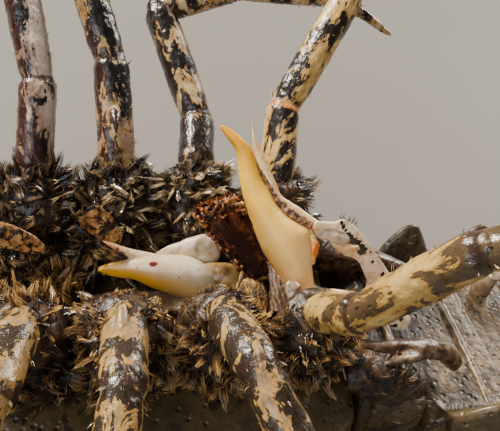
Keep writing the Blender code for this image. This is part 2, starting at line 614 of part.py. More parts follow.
def make_abdomen():
    """The six tail segments, each with its arched back and pointed side plates, one behind another."""
    start = Vector(ABDOMEN_START)
    for k, (length, half_width, back, under, plates) in enumerate(ABDOMEN_SEGMENTS):
        first, last = TAIL_PITCHES[k], TAIL_PITCHES[k + 1]
        along, upward = tail_frame((first + last) / 2)
        rings = []
        for share, swell, point, flare in ((0.0, 0.93, 0.72, 0.0), (0.16, 0.96, 0.86, 0.0), (0.22, 0.99, 0.95, 0.1),
                                           (0.6, 1.0, 1.06, 0.3), (0.86, 1.0, 0.93, 0.1), (1.0, 0.97, 0.76, 0.0)):
            ahead, up = tail_frame(mix(first, last, share))
            centre = start + along * (length - GAP) * share + ahead * HALF_GAP
            high = max(plates * point, under + 0.1)
            low = under * (0.96 if share in (0.0, 1.0) else 1.0)
            points = [centre + Vector((0, 1, 0)) * y + up * z
                      for y, z in segment_ring(half_width * swell, back * swell, low, high, flare)]
            for p in points:
                p.z = max(p.z, 0.0)
            rings.append(points)
        node = body(f"abdomen_{k + 1}", loft(rings), "shell")
        if k in (2, 3, 4):
            fuse(node, swimmerets(start, along, upward, length, half_width, under))
        start = start + along * length
    return start


def swimmerets(start, along, upward, length, half_width, under):
    """A pair of swimmerets: a short stem with two soft blades that trail back."""
    made = []
    for sign in SIDES.values():
        y = half_width * 0.5
        root = start + along * length * 0.45 + Vector((0, y * sign, 0)) + upward * (under - 0.5)
        knee = root + along * 0.6 + upward * 2.0
        made.append(loft(path_rings([(root, 0.7, 0.8), (knee, 0.6, 0.75)], (0, 1, 0), sides=6)))
        for spread, size in ((1.1, 1.0), (-0.7, 0.9)):
            end = knee + along * 4.4 * size + Vector((0, spread * sign, 0)) + upward * 1.1
            blade = [(knee - along * 0.4 - upward * 0.3, 0.4, 0.35), (mix(knee, end, 0.4), 0.75, 0.3),
                     (mix(knee, end, 0.8), 0.55, 0.26), (end, 0.12, 0.12)]
            made.append(loft(path_rings(blade, (0, 1, 0.2 * sign), sides=6)))
    return made


def plate_rings(root, along, upward, outward, stations, thick):
    """Rings of a flat plate of the tail fan. A station is how far along it is, and its inner and outer edges."""
    rings = []
    for reach, inner, outer, share in stations:
        centre = root + along * reach + outward * (inner + outer) / 2
        rings.append(ring(centre, along, outward, max((outer - inner) / 2, 0.1), max(thick * share, 0.12), 8, 0.75))
    return rings


def make_tail_fan(start):
    """The tail fan: the middle plate, and two broad plates on each side of it."""
    along, upward = tail_frame(TAIL_PITCH)
    side = Vector((0, 1, 0))
    root = start + along * HALF_GAP + upward * -1.6
    stations = [(0.0, -2.9, 2.9, 1.0), (1.2, -3.9, 3.9, 1.0), (6.4, -3.9, 3.9, 0.9), (7.0, -4.2, 4.2, 0.85),
                (7.6, -3.7, 3.7, 0.8), (10.6, -3.4, 3.4, 0.65), (12.2, -2.3, 2.3, 0.5), (12.7, -1.2, 1.2, 0.4)]
    body("telson", loft(plate_rings(root, along, upward, side, stations, 0.6)), "shell")
    for name, angle, offset, lift, width, length in (("inner", 14.0, 4.4, 1.35, 2.7, 11.4),
                                                     ("outer", 33.0, 5.2, 2.65, 3.1, 12.2)):
        for label, sign in SIDES.items():
            a = math.radians(angle)
            run = along * math.cos(a) + side * sign * math.sin(a)
            out = side * sign * math.cos(a) - along * math.sin(a)
            base = root + side * sign * offset + upward * lift + along * (0.3 if name == "inner" else 0.9)
            shape = [(0.0, -0.7, 0.8, 1.0), (1.6, -width * 0.6, width * 0.75, 1.0), (length * 0.45, -width, width, 0.9),
                     (length * 0.66, -width * 1.02, width * 1.08, 0.8), (length * 0.72, -width, width, 0.7),
                     (length * 0.9, -width * 0.8, width * 0.7, 0.55), (length, -width * 0.35, width * 0.3, 0.45)]
            fan = body(f"uropod_{name}_{label}", loft(plate_rings(base, run, upward, out, shape, 0.42)), "shell")
            ridge = [(base + run * 0.8 + upward * 0.1, 0.45, 0.5), (base + run * length * 0.65 + upward * 0.1, 0.35, 0.45),
                     (base + run * length * 0.76, 0.1, 0.15)]
            fuse(fan, [loft(path_rings(ridge, side, sides=6))])


# The first pleopods, which a male bends forward between his legs. The left one stands up, as in the picture.
STYLETS = {
    "left": {
        "stem": [(16.3, 1.3, 13.6), (15.3, 1.0, 15.2), (13.7, 1.1, 17.5), (12.2, 1.2, 18.9), (11.0, 0.95, 18.8),
                 (10.35, 0.75, 18.5)],
        "shaft": [(9.35, -0.2, 15.9), (8.7, 0.3, 17.1), (7.85, 1.17, 18.3), (7.3, 2.1, 19.5), (6.8, 3.0, 20.5),
                  (6.4, 3.9, 21.4), (5.95, 4.8, 22.1), (5.45, 5.6, 22.7), (4.95, 6.2, 23.15), (4.35, 6.7, 23.5)],
        "widths": [1.0, 1.55, 1.9, 1.55, 1.22, 0.9, 0.7, 0.48, 0.3, 0.1],
        "depths": [0.8, 1.1, 1.2, 1.1, 0.95, 0.75, 0.6, 0.42, 0.27, 0.1],
        "side": (0.98, -0.18, 0.12),
        "process": [(7.3, 3.0, 20.7), (6.9, 4.2, 21.8), (6.6, 5.3, 22.7), (6.3, 6.8, 23.95)],
    },
    "right": {
        "stem": [(16.3, -1.6, 13.6), (14.4, -2.0, 15.2), (12.2, -2.1, 16.0), (10.2, -2.0, 16.4), (9.2, -1.9, 16.5)],
        "shaft": [(8.85, -1.85, 16.5), (7.2, -1.3, 16.6), (5.5, -0.8, 16.8), (4.3, -0.5, 16.95), (3.2, -0.45, 17.0),
                  (2.0, -0.4, 17.1), (0.6, -0.2, 17.45), (-0.9, -0.05, 17.75), (-2.3, 0.1, 17.9), (-3.5, 0.15, 18.0)],
        "widths": [0.7, 0.85, 0.9, 1.1, 1.35, 1.4, 1.1, 0.75, 0.42, 0.1],
        "depths": [0.7, 0.8, 0.85, 0.9, 1.0, 1.0, 0.8, 0.6, 0.38, 0.1],
        "side": (0.1, 0.35, 1.0),
        "process": [(2.6, 0.5, 17.8), (1.4, 0.8, 18.0), (-0.5, 1.0, 18.35), (-3.0, 1.45, 18.9)],
    },
}


def make_stylet(side):
    """A first pleopod: its bent stem, and the blade that ends in a horny point and a soft one."""
    shape = STYLETS[side]
    stem = [Vector(p) for p in shape["stem"]]
    stations = [(p, 0.95 - 0.03 * i, 0.85 - 0.02 * i) for i, p in enumerate(stem)]
    body(f"stylet_stem_{side}", loft(path_rings(stations, (0, 1, 0), sides=8)), "stylet")
    stations = [(Vector(p), w, d) for p, w, d in zip(shape["shaft"], shape["widths"], shape["depths"])]
    blade = body(f"stylet_{side}", loft(path_rings(stations, shape["side"], sides=10)), "stylet")
    stations = [(Vector(p), w, w * 0.8) for p, w in zip(shape["process"], (0.6, 0.5, 0.32, 0.1))]
    fuse(blade, [loft(path_rings(stations, shape["side"], sides=6))])


def make_second_pleopod(side):
    """The smaller second pleopod, which lies behind the first and points forward."""
    sign = SIDES[side]
    points = mirrored([(20.2, 3.4, 11.0), (19.1, 3.5, 12.6), (16.7, 4.0, 13.7), (13.8, 4.2, 14.3), (11.9, 4.1, 14.5)], sign)
    stations = [(p, w, w * 0.8) for p, w in zip(points, (1.0, 0.9, 0.75, 0.5, 0.12))]
    limb = body(f"pleopod_2_{side}", loft(path_rings(stations, (0, 1, 0), sides=8)), "belly")
    branch = [points[2] + Vector((0.6, 0.3 * sign, -0.3)), points[2] + Vector((-1.4, 1.2 * sign, 0.5)),
              points[2] + Vector((-3.8, 1.8 * sign, 0.8))]
    stations = [(p, w, w * 0.6) for p, w in zip(branch, (0.45, 0.5, 0.12))]
    fuse(limb, [loft(path_rings(stations, (0, 1, 0), sides=6))])


for old in list(bpy.data.objects):
    bpy.data.objects.remove(old)
parts = bpy.data.collections.new("spinycheek_crayfish")
bpy.context.scene.collection.children.link(parts)

make_carapace()
make_sternum()
make_eyes()
for side_name in SIDES:
    for leg_number in (2, 3, 4, 5):
        make_walking_leg(leg_number, side_name)
    make_cheliped(side_name)
    make_maxilliped(side_name)
    make_antenna(side_name)
    make_antennule(side_name)
    make_stylet(side_name)
    make_second_pleopod(side_name)
make_tail_fan(make_abdomen())
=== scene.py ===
"""The spinycheek crayfish as a museum would show it: wet shell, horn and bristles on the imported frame.

Shapes are worked out in millimetres in the frame's own axes: the head points along -X, the animal's left
is +Y and its belly faces up. Each piece is scaled to metres as it is made and sits at the origin.
"""

import math
import random

import bmesh
import bpy
from mathutils import Matrix, Vector
from mathutils.kdtree import KDTree


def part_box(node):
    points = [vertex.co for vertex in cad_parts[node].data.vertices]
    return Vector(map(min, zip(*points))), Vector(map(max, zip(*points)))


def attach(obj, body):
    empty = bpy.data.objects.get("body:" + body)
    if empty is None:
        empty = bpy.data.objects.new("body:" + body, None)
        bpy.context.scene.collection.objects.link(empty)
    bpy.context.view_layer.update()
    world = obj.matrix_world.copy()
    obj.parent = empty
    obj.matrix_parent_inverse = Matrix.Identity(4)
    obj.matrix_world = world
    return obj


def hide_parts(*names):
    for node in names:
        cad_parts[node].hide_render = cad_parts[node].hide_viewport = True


MM = 0.001
SIDES = {"left": 1, "right": -1}
COXA_X = {1: -13.2, 2: -7.3, 3: -2.1, 4: 3.0, 5: 8.3}
BELLY_Z = 14.4
GAP = 0.3
THINNEST = 0.03
LEG_JOINTS = {
    (2, "left"): [(-7.2, 6.2, 20.4), (-6.8, 10.0, 24.6), (-8.5, 17.5, 31.5), (-9.8, 21.6, 33.4),
                  (-10.9, 27.2, 31.4), (-11.6, 31.2, 28.6)],
    (3, "left"): [(-2.1, 6.4, 20.6), (-2.3, 11.3, 25.3), (-5.2, 19.6, 32.3), (-6.2, 24.2, 33.6),
                  (-7.0, 30.3, 31.2), (-7.5, 34.6, 28.0)],
    (4, "left"): [(2.9, 6.4, 20.5), (3.4, 10.2, 21.7), (1.2, 17.2, 26.2), (6.7, 18.7, 27.4),
                  (14.3, 18.2, 27.3), (18.9, 16.9, 25.0)],
    (5, "left"): [(8.3, 5.9, 20.0), (9.0, 9.4, 23.2), (14.1, 14.9, 28.9), (17.5, 18.6, 31.0),
                  (22.6, 24.0, 29.2), (25.2, 27.2, 26.3)],
    (2, "right"): [(-7.4, -6.2, 20.4), (-8.2, -10.8, 21.4), (-12.5, -19.2, 17.4), (-14.4, -22.8, 14.0),
                   (-16.4, -26.2, 8.6), (-17.6, -28.2, 4.4)],
    (3, "right"): [(-2.2, -6.3, 20.5), (-2.6, -11.2, 21.6), (-4.2, -20.8, 17.4), (-4.8, -24.6, 13.8),
                   (-5.4, -28.4, 8.2), (-5.8, -30.4, 4.0)],
    (4, "right"): [(3.0, -6.2, 20.4), (3.8, -10.4, 21.4), (7.0, -18.6, 17.6), (8.8, -22.4, 14.0),
                   (10.8, -26.0, 8.0), (11.8, -27.6, 4.0)],
    (5, "right"): [(8.3, -6.0, 20.0), (8.8, -9.2, 23.4), (11.6, -12.0, 30.2), (15.6, -14.2, 32.6),
                   (22.0, -18.2, 30.6), (25.6, -20.6, 27.4)],
}
# Black blots on the stem: X, Z and radius.
PIGMENT = [(11.36, 20.29, 0.10), (11.55, 20.02, 0.16), (11.73, 19.77, 0.12), (11.96, 19.45, 0.20),
           (12.2, 19.15, 0.26), (12.45, 18.86, 0.28), (12.7, 18.56, 0.36), (13.0, 18.2, 0.40),
           (13.25, 17.88, 0.36), (12.55, 18.3, 0.18), (14.21, 16.86, 0.12), (15.2, 15.62, 0.17),
           (15.64, 14.86, 0.24), (15.16, 14.3, 0.34), (14.99, 13.35, 0.16), (13.9, 17.7, 0.08)]
random.seed(11)

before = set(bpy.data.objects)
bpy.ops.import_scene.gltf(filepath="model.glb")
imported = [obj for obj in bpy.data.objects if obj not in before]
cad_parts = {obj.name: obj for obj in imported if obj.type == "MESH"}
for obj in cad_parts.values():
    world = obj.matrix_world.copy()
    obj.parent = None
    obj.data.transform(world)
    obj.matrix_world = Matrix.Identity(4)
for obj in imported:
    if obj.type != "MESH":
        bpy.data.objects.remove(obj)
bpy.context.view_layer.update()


# Shader maths.

class Value:
    """A shader socket that sums can be written with."""

    def __init__(self, finish, socket):
        self.finish = finish
        self.socket = socket

    def math(self, operation, a, b=0.0, clamp=False):
        return self.finish.node("Math", {"operation": operation, "use_clamp": clamp}, {0: a, 1: b})

    def __add__(self, other):
        return self.math("ADD", self, other)

    def __radd__(self, other):
        return self.math("ADD", other, self)

    def __sub__(self, other):
        return self.math("SUBTRACT", self, other)

    def __rsub__(self, other):
        return self.math("SUBTRACT", other, self)

    def __mul__(self, other):
        return self.math("MULTIPLY", self, other)

    def __pow__(self, other):
        return self.math("POWER", self, other)

    def clamped(self):
        return self.math("ADD", self, 0.0, clamp=True)

    def at_least(self, other):
        return self.math("MAXIMUM", self, other)

    def sine(self):
        return self.math("SINE", self)

    def absolute(self):
        return self.math("ABSOLUTE", self)

    def rise(self, low, high):
        """0 below low and 1 above high, with a smooth slope between them."""
        return self.finish.node("MapRange", {"interpolation_type": "SMOOTHSTEP"}, {0: self, 1: low, 2: high})


class Finish:
    """A material under construction. Keyword arguments set the shader's own constant sockets."""

    def __init__(self, name, **constants):
        self.material = bpy.data.materials.new(name)
        self.material.use_nodes = True
        self.tree = self.material.node_tree
        self.shader = self.tree.nodes["Principled BSDF"]
        for socket, value in constants.items():
            self.shader.inputs[socket.replace("_", " ")].default_value = value
        self.place = self.node("TexCoord", output="Object")

    def node(self, kind, settings=None, sockets=None, output=0):
        made = self.tree.nodes.new("ShaderNode" + kind)
        for name, value in (settings or {}).items():
            if name == "stops":
                ramp = made.color_ramp
                while len(ramp.elements) < len(value):
                    ramp.elements.new(1.0)
                for stop, (position, colour) in zip(ramp.elements, value):
                    stop.position = position
                    stop.color = (*colour, 1.0)
            else:
                setattr(made, name, value)
        for name, value in (sockets or {}).items():
            if isinstance(value, Value):
                self.tree.links.new(value.socket, made.inputs[name])
            else:
                made.inputs[name].default_value = value
        return Value(self, made.outputs[output])

    def noise(self, size, detail=3.0, distortion=0.0, at=None, roughness=0.55):
        """Cloudy noise whose blotches are about size millimetres across."""
        return self.node("TexNoise", None,
                         {"Vector": at or self.place, "Scale": 1000.0 / size, "Detail": detail,
                          "Roughness": roughness, "Distortion": distortion})

    def cells(self, size, feature="F1", at=None):
        """The distance within cells about size millimetres across."""
        return self.node("TexVoronoi", {"feature": feature},
                         {"Vector": at or self.place, "Scale": 1000.0 / size})

    def vector(self, operation, a, b, output="Vector"):
        return self.node("VectorMath", {"operation": operation}, {0: a, 1: b}, output=output)

    def scaled(self, vector, factor):
        return self.node("VectorMath", {"operation": "SCALE"}, {0: vector, 3: factor})

    def drawn(self, run, share):
        """Object coordinates pressed together along a direction, which draws blotches out that way."""
        reach = self.vector("DOT_PRODUCT", self.place, tuple(run), "Value")
        return self.vector("SUBTRACT", self.place, self.scaled(tuple(run), reach * share))

    def axis(self, name, source=None):
        return self.node("SeparateXYZ", None, {0: source or self.place}, output=name)

    def away(self, x, y, z, source=None):
        """The distance from a point, in millimetres."""
        return self.vector("DISTANCE", source or self.place, (x * MM, y * MM, z * MM), "Value") * 1000.0

    def along(self, start, end):
        """0 at start and 1 at end, read from the place on the piece. Both are in millimetres."""
        run = (Vector(end) - Vector(start)) * MM
        offset = self.vector("SUBTRACT", self.place, tuple(Vector(start) * MM))
        return self.vector("DOT_PRODUCT", offset, tuple(run / run.length_squared), "Value")

    def ramp(self, factor, *stops):
        return self.node("ValToRGB", {"stops": stops}, {0: factor})

    def blend(self, factor, a, b):
        a, b = [value if isinstance(value, Value) else (*value, 1.0) for value in (a, b)]
        return self.node("Mix", {"data_type": "RGBA"}, {0: factor, 6: a, 7: b}, output=2)

    def strand(self, output):
        """The tone of a bristle is X, and the way up it is Y."""
        return self.axis(output, self.node("UVMap", {"uv_map": "Strand"}))

    def paint(self, base, roughness=None, bump=None, height=0.05, coat=None, painted_glow=0.0):
        """Joins the varying inputs. Height is in millimetres, and the glow is painted light: emission of the
        base colour that stands in for daylight through thin horn.
        """
        links = self.tree.links
        links.new(base.socket, self.shader.inputs["Base Color"])
        if painted_glow:
            links.new(base.socket, self.shader.inputs["Emission Color"])
            self.shader.inputs["Emission Strength"].default_value = painted_glow
        if roughness:
            links.new(roughness.socket, self.shader.inputs["Roughness"])
        if coat:
            links.new(coat.socket, self.shader.inputs["Coat Weight"])
        if bump:
            normal = self.node("Bump", None, {"Strength": 1.0, "Distance": height * MM, "Height": bump})
            links.new(normal.socket, self.shader.inputs["Normal"])
        return self.material


WET = {"Coat_Weight": 0.12, "Coat_Roughness": 0.10, "IOR": 1.5}


def soft(weight, scale=0.0008):
    """The constants that let light into a finish."""
    return {"Subsurface_Weight": weight, "Subsurface_Scale": scale}


def wet_limb(limb, side, light, middle, dark, share, patch, red=0.0, crease=(0.035, 0.016, 0.010), lean=0.0,
             rim=(0.44, 0.23, 0.045)):
    """Wet shell with ragged, pale-rimmed dark patches along the limb, specks and dark creases."""
    f = Finish(f"limb_{limb}_{side}", **WET)
    joints = [Vector(p) for p in LEG_JOINTS[limb, side]]
    run = (joints[2] - joints[1]).normalized()
    drawn = f.drawn(run, 0.55)
    broad = f.noise(patch, 6.0, 0.6, at=drawn, roughness=0.66)
    fine = f.noise(patch * 0.25, 4.0, 0.4, at=drawn)
    colour = f.blend(fine.rise(0.34, 0.66), light, middle)
    out = (Vector((1, 0, 0)) - run * run.x).normalized() * 1.1
    across = f.along(joints[1], joints[1] + out)
    if red:
        stain = f.noise(2.4, 3.0, at=drawn).rise(0.40, 0.52) * (1 - across.rise(-0.5, 0.3))
        colour = f.blend(stain * red, colour, (0.17, 0.034, 0.010))
        dark = f.blend((1 - across.rise(-0.8, -0.25)) * red * red, dark, (0.050, 0.013, 0.008))
    level = broad + (fine - 0.5) * 0.20 + (0.5 - across.rise(-1.0, 1.0)) * lean
    edge = 0.66 - share * 0.32
    colour = f.blend(level.rise(edge - 0.06, edge - 0.02) * 0.85, colour, rim)
    patches = level.rise(edge - 0.012, edge + 0.012)
    colour = f.blend(patches, colour, dark)
    specks = 1 - f.cells(0.55, at=drawn).rise(0.12, 0.20)
    colour = f.blend(specks * 0.9, colour, (0.012, 0.007, 0.005))
    folds = 0.0
    for k, width in ((1, 0.30), (2, 0.34), (3, 0.34), (4, 0.26)):
        before, after = joints[k] - joints[k - 1], joints[k + 1] - joints[k]
        ahead = after.normalized() * 0.5 + before.normalized() * 0.5
        off = f.along(joints[k], joints[k] + ahead / ahead.length_squared)
        line = 1 - (off * off).rise(width * width * 0.15, width * width)
        folds = line * (1 - f.away(*joints[k]).rise(1.9, 2.3)) + folds
    colour = f.blend(folds.clamped() * 0.9, colour, crease)
    rough = 0.19 + fine * 0.26 - patches * 0.06
    bump = f.noise(0.45, 4.0) * 0.8 + fine * 0.7 - specks * 0.3 - patches * 0.15
    return f.paint(colour, rough, bump, 0.10)


def bristle_finish(name, root, middle, tip, roughness=0.3, gloss=0.5):
    """A wet bristle, dark at its root. Its tone sets how far it pales, and tone 0 is a glossy lock."""
    f = Finish(name, Coat_Roughness=0.06, Specular_IOR_Level=gloss)
    way, tone = f.strand("Y"), f.strand("X")
    pale = ((way - 0.95 + tone * 0.95) * 1.5).clamped()
    colour = f.blend(pale.rise(0.0, 0.55), root, middle)
    colour = f.blend(pale.rise(0.5, 1.0), colour, tip)
    wet = 1 - tone.rise(0.02, 0.06)
    colour = f.blend(wet, colour, f.blend(f.noise(0.5).rise(0.4, 0.6), root, middle))
    return f.paint(colour, roughness - wet * (roughness - 0.08), coat=(wet * 0.6 + 0.5) * gloss)


def olive_shell(name, tints, height=0.12):
    """Brown-olive shell with dark marbling, pale flecks and fine pits. The given function tints it."""
    f = Finish(name, **WET)
    broad = f.noise(5.0, 5.0, 0.8)
    middle = f.noise(1.6, 5.0, 0.7)
    fine = f.noise(0.45, 4.0, 0.4)
    pits = f.cells(0.62)
    colour = f.ramp(broad * 0.5 + middle * 0.35 + fine * 0.15, (0.38, (0.016, 0.010, 0.005)),
                    (0.46, (0.060, 0.038, 0.013)), (0.54, (0.13, 0.086, 0.030)), (0.64, (0.25, 0.17, 0.065)))
    colour = tints(f, colour)
    colour = f.blend(middle.rise(0.55, 0.60) * broad.rise(0.40, 0.52) * 0.8, colour, (0.020, 0.012, 0.006))
    flecks = (1 - f.cells(1.3).rise(0.10, 0.17)) * fine.rise(0.42, 0.56)
    colour = f.blend(flecks * 0.6, colour, (0.38, 0.28, 0.13))
    colour = f.blend((1 - pits.rise(0.08, 0.20)) * 0.8, colour, (0.014, 0.009, 0.005))
    bump = pits.rise(0.0, 0.35) * 0.7 + fine * 0.5 + middle * 0.6
    return f.paint(colour, 0.26 + fine * 0.25, bump, height)


def carapace_tints(f, colour):
    """Paler flanks and belly edge and a red-brown beak."""
    mottled = f.blend(f.noise(0.9, 4.0).rise(0.35, 0.7), (0.13, 0.088, 0.034), (0.052, 0.033, 0.014))
    colour = f.blend(f.axis("Z").rise(0.006, 0.0125) * 0.5, colour, mottled)
    beak = 1 - f.axis("X").rise(-0.031, -0.023)
    return f.blend(beak * 0.5, colour, (0.15, 0.045, 0.02))


# A wave with one crest to each 6 mm of the tail, and its phase, so that crests are near segments' middles.
SEGMENT_WAVE, FIRST_SEGMENT = 1047.2, 19.48


def tail_bands(f, colour):
    """Paired maroon bars across each tail segment's back, on paler side plates, and painted shade near black
    round the hollow under the stem's arch.
    """
    side = f.axis("Z").rise(0.0045, 0.009)
    mottled = f.blend(f.noise(0.8, 4.0).rise(0.35, 0.7), (0.105, 0.070, 0.028), (0.040, 0.025, 0.011))
    colour = f.blend(side * 0.8, colour, mottled)
    off_middle = f.axis("Y") * 1000.0
    squared = off_middle * off_middle
    inside = (1 - squared.rise(30.0, 40.0)) * f.axis("Z").rise(0.0075, 0.0085)
    underside = f.ramp(f.noise(0.7, 4.0, 0.6), (0.35, (0.045, 0.025, 0.012)), (0.5, (0.110, 0.068, 0.032)),
                       (0.66, (0.20, 0.135, 0.070)))
    colour = f.blend(inside * 0.9, colour, underside)
    bar = (squared - 10.0).absolute() + f.noise(1.2, 4.0) * 14.0
    colour = f.blend((1 - bar.rise(9.0, 16.0)) * (1 - side) * 0.9, colour, (0.10, 0.012, 0.008))
    flank = (f.axis("Z") * 1000.0 + f.noise(1.0, 4.0) * 2.4 - 8.2).absolute()
    turns = f.axis("X") * SEGMENT_WAVE - FIRST_SEGMENT
    middles = (turns + f.noise(1.4, 4.0) * 3.0 - 1.5).sine().rise(-0.1, 0.8)
    colour = f.blend((1 - flank.rise(0.6, 2.2)) * 0.7 * (1 - inside) * middles, colour,
                     (0.065, 0.013, 0.007))
    # Painted shade: near black round the hollow under the stem's arch, at the tail's root.
    return f.blend((1 - f.away(13.0, 1.0, 12.5).rise(5.5, 9.0)) * 0.92, colour, (0.014, 0.009, 0.006))


def fan_tints(f, colour):
    """Thin blades, clearer and ribbed towards their rear edge."""
    reach = f.axis("X").rise(0.046, 0.060)
    ribs = (f.axis("Y") * 9000.0 + f.noise(2.0) * 3.0).sine().rise(0.2, 0.9)
    clear = f.blend(ribs * 0.6, (0.26, 0.17, 0.075), (0.10, 0.055, 0.022))
    return f.blend(reach * 0.7, colour, clear)


def pale_belly(name):
    """The pale, thin shell of the underside, with painted shade near black at its rear, by the hollow under
    the stem's arch.
    """
    f = Finish(name, **soft(0.25, 0.001), **WET)
    fine = f.noise(0.8, 5.0, 0.4)
    colour = f.ramp(fine, (0.30, (0.18, 0.10, 0.05)), (0.5, (0.40, 0.27, 0.14)), (0.7, (0.58, 0.44, 0.27)))
    colour = f.blend(f.noise(3.0, 4.0, 0.6).rise(0.55, 0.68) * 0.6, colour, (0.10, 0.055, 0.03))
    # Painted shade: near black towards the hollow under the stem's arch.
    colour = f.blend((1 - f.away(11.5, 0.5, 13.5).rise(3.0, 7.0)) * 0.9, colour, (0.030, 0.017, 0.010))
    return f.paint(colour, 0.3 + fine * 0.2, f.noise(0.4, 4.0), 0.08)


def claw_finish(name):
    """Olive claws with pale mottles, and fingers that turn black and then orange at their tips."""
    f = Finish(name, **WET)
    fine = f.noise(1.0, 5.0, 0.6)
    broad = f.noise(4.0, 4.0, 0.8)
    colour = f.ramp(broad * 0.5 + fine * 0.5, (0.32, (0.028, 0.020, 0.010)), (0.46, (0.11, 0.080, 0.030)),
                    (0.58, (0.22, 0.165, 0.065)), (0.70, (0.42, 0.33, 0.16)))
    pits = 1 - f.cells(0.8).rise(0.10, 0.22)
    colour = f.blend(pits * 0.8, colour, (0.02, 0.013, 0.007))
    reach = f.axis("X") * -1000.0
    colour = f.blend(reach.rise(53.5, 55.2), colour, (0.022, 0.014, 0.010))
    colour = f.blend(reach.rise(57.0, 58.4), colour, (0.72, 0.20, 0.025))
    return f.paint(colour, 0.26 + fine * 0.2, fine * 0.7 - pits * 0.6, 0.15)


# Each joint of a feeler takes this much of its map, and the wave has one crest to each joint.
FEELER_JOINT, FEELER_WAVE = 0.01, 628.3


def ringed_feeler(name):
    """Red-brown feelers with a dark ring at each of their many joints."""
    f = Finish(name, **{**WET, "Roughness": 0.35})
    rings = (f.strand("Y") * FEELER_WAVE).sine().rise(0.3, 0.9)
    return f.paint(f.blend(rings * 0.6, (0.15, 0.055, 0.024), (0.035, 0.014, 0.009)))


def left_stylet_finish(name):
    """Horn with a fine grain and a painted glow that stands in for daylight through it: amber at the beak,
    straw yellow along the shaft, tan at the base.
    """
    f = Finish(name, Subsurface_Radius=(1.0, 0.55, 0.22), Specular_IOR_Level=0.22, Roughness=0.3,
               **soft(0.35, 0.0009))
    tip = f.along((6.5, 3.7, 21.1), (4.35, 6.5, 23.6))
    cloud = f.noise(1.6, 3.0, 0.3)
    grain = f.noise(0.35, 4.0, 0.1, at=f.drawn(Vector((-0.45, 0.62, 0.62)).normalized(), 0.92))
    colour = f.ramp(cloud * 0.5 + grain * 0.5, (0.34, (0.87, 0.47, 0.11)), (0.5, (0.96, 0.58, 0.17)),
                    (0.66, (1.0, 0.68, 0.27)))
    base = f.along((6.8, 2.6, 19.8), (9.2, -1.0, 16.0))
    across = f.along((7.4, 0.6, 19.3), (5.6, 0.2, 18.7)) + cloud * 0.5 - 0.25
    colour = f.blend(across.rise(0.35, 1.1) * 0.7, colour, (0.86, 0.50, 0.12))
    colour = f.blend(base.rise(0.2, 0.9) * 0.5, colour, (0.92, 0.54, 0.24))
    colour = f.blend(tip.rise(-1.3, 0.25) * 0.9, colour, (0.86, 0.49, 0.02))
    colour = f.blend(tip.rise(0.15, 0.7) * 0.95, colour, (0.74, 0.33, 0.001))
    colour = f.blend(tip.rise(0.9, 1.05) * 0.6, colour, (0.48, 0.18, 0.002))
    # The glow is painted light, standing in for daylight through the horn.
    return f.paint(colour, 0.26 + cloud * 0.18, grain * 0.8 + cloud * 0.4, 0.04, painted_glow=0.10)


def right_stylet_finish(name):
    """Pearly white horn with a yellow beak, one dark-red spot and small specks."""
    f = Finish(name, Subsurface_Radius=(1.0, 0.75, 0.4), Specular_IOR_Level=0.4, **soft(0.35, 0.0009))
    reach = f.along((0.6, -0.2, 17.5), (-3.4, 0.15, 17.9))
    cloud = f.noise(1.0, 3.0, 0.3)
    level = f.axis("Z") * 1000.0
    low = 1 - (level - reach * 0.45 + cloud * 0.5).rise(17.75, 18.6)
    colour = f.ramp(cloud, (0.32, (0.46, 0.37, 0.24)), (0.5, (0.66, 0.56, 0.40)), (0.7, (0.80, 0.72, 0.58)))
    colour = f.blend(reach.rise(-0.9, 0.2) * 0.55, colour, (0.74, 0.50, 0.28))
    under = 1 - (level + cloud * 0.5).rise(16.9, 18.1)
    colour = f.blend(under * 0.7, colour, (0.86, 0.56, 0.23))
    colour = f.blend((1 - f.away(0.9, -0.6, 17.7).rise(0.1, 0.9)) * 0.8, colour, (0.98, 0.80, 0.36))
    colour = f.blend(low * reach.rise(-0.75, 0.1) * 0.9, colour, (0.84, 0.47, 0.08))
    colour = f.blend(low * reach.rise(-0.1, 0.35), colour, (0.84, 0.42, 0.006))
    colour = f.blend(low * reach.rise(0.75, 0.95) * 0.5, colour, (0.55, 0.28, 0.01))
    colour = f.blend((1 - f.away(-3.2, 0.8, 19.4).rise(0.3, 2.2)) * 0.85, colour, (0.42, 0.17, 0.045))
    ragged = f.noise(0.25, 3.0) * 0.22
    flattened = f.vector("MULTIPLY", f.place, (0.62, 1.0, 1.2))
    spot = 1 - (f.away(-0.19, -0.42, 22.34, flattened) + ragged).rise(0.24, 0.34)
    colour = f.blend(spot * 0.97, colour, (0.13, 0.004, 0.003))
    for x, y, z, size in ((-1.19, -0.35, 18.28, 0.14), (-0.83, -0.4, 18.19, 0.19),
                          (-0.54, -0.45, 18.15, 0.12), (-1.13, -0.45, 17.97, 0.13),
                          (2.34, -0.72, 18.2, 0.16), (1.19, -0.56, 18.5, 0.12), (-2.3, 0.6, 19.0, 0.20),
                          (-1.7, 0.5, 18.8, 0.14), (-1.2, 0.5, 18.75, 0.10)):
        fleck = 1 - (f.away(x, y, z) + ragged).rise(size, size + 0.1)
        colour = f.blend(fleck * 0.85, colour, (0.07, 0.022, 0.010))
    specks = 1 - f.cells(0.8).rise(0.05, 0.09)
    colour = f.blend(specks * 0.8, colour, (0.09, 0.035, 0.015))
    return f.paint(colour, 0.18 + cloud * 0.14, cloud, 0.05)


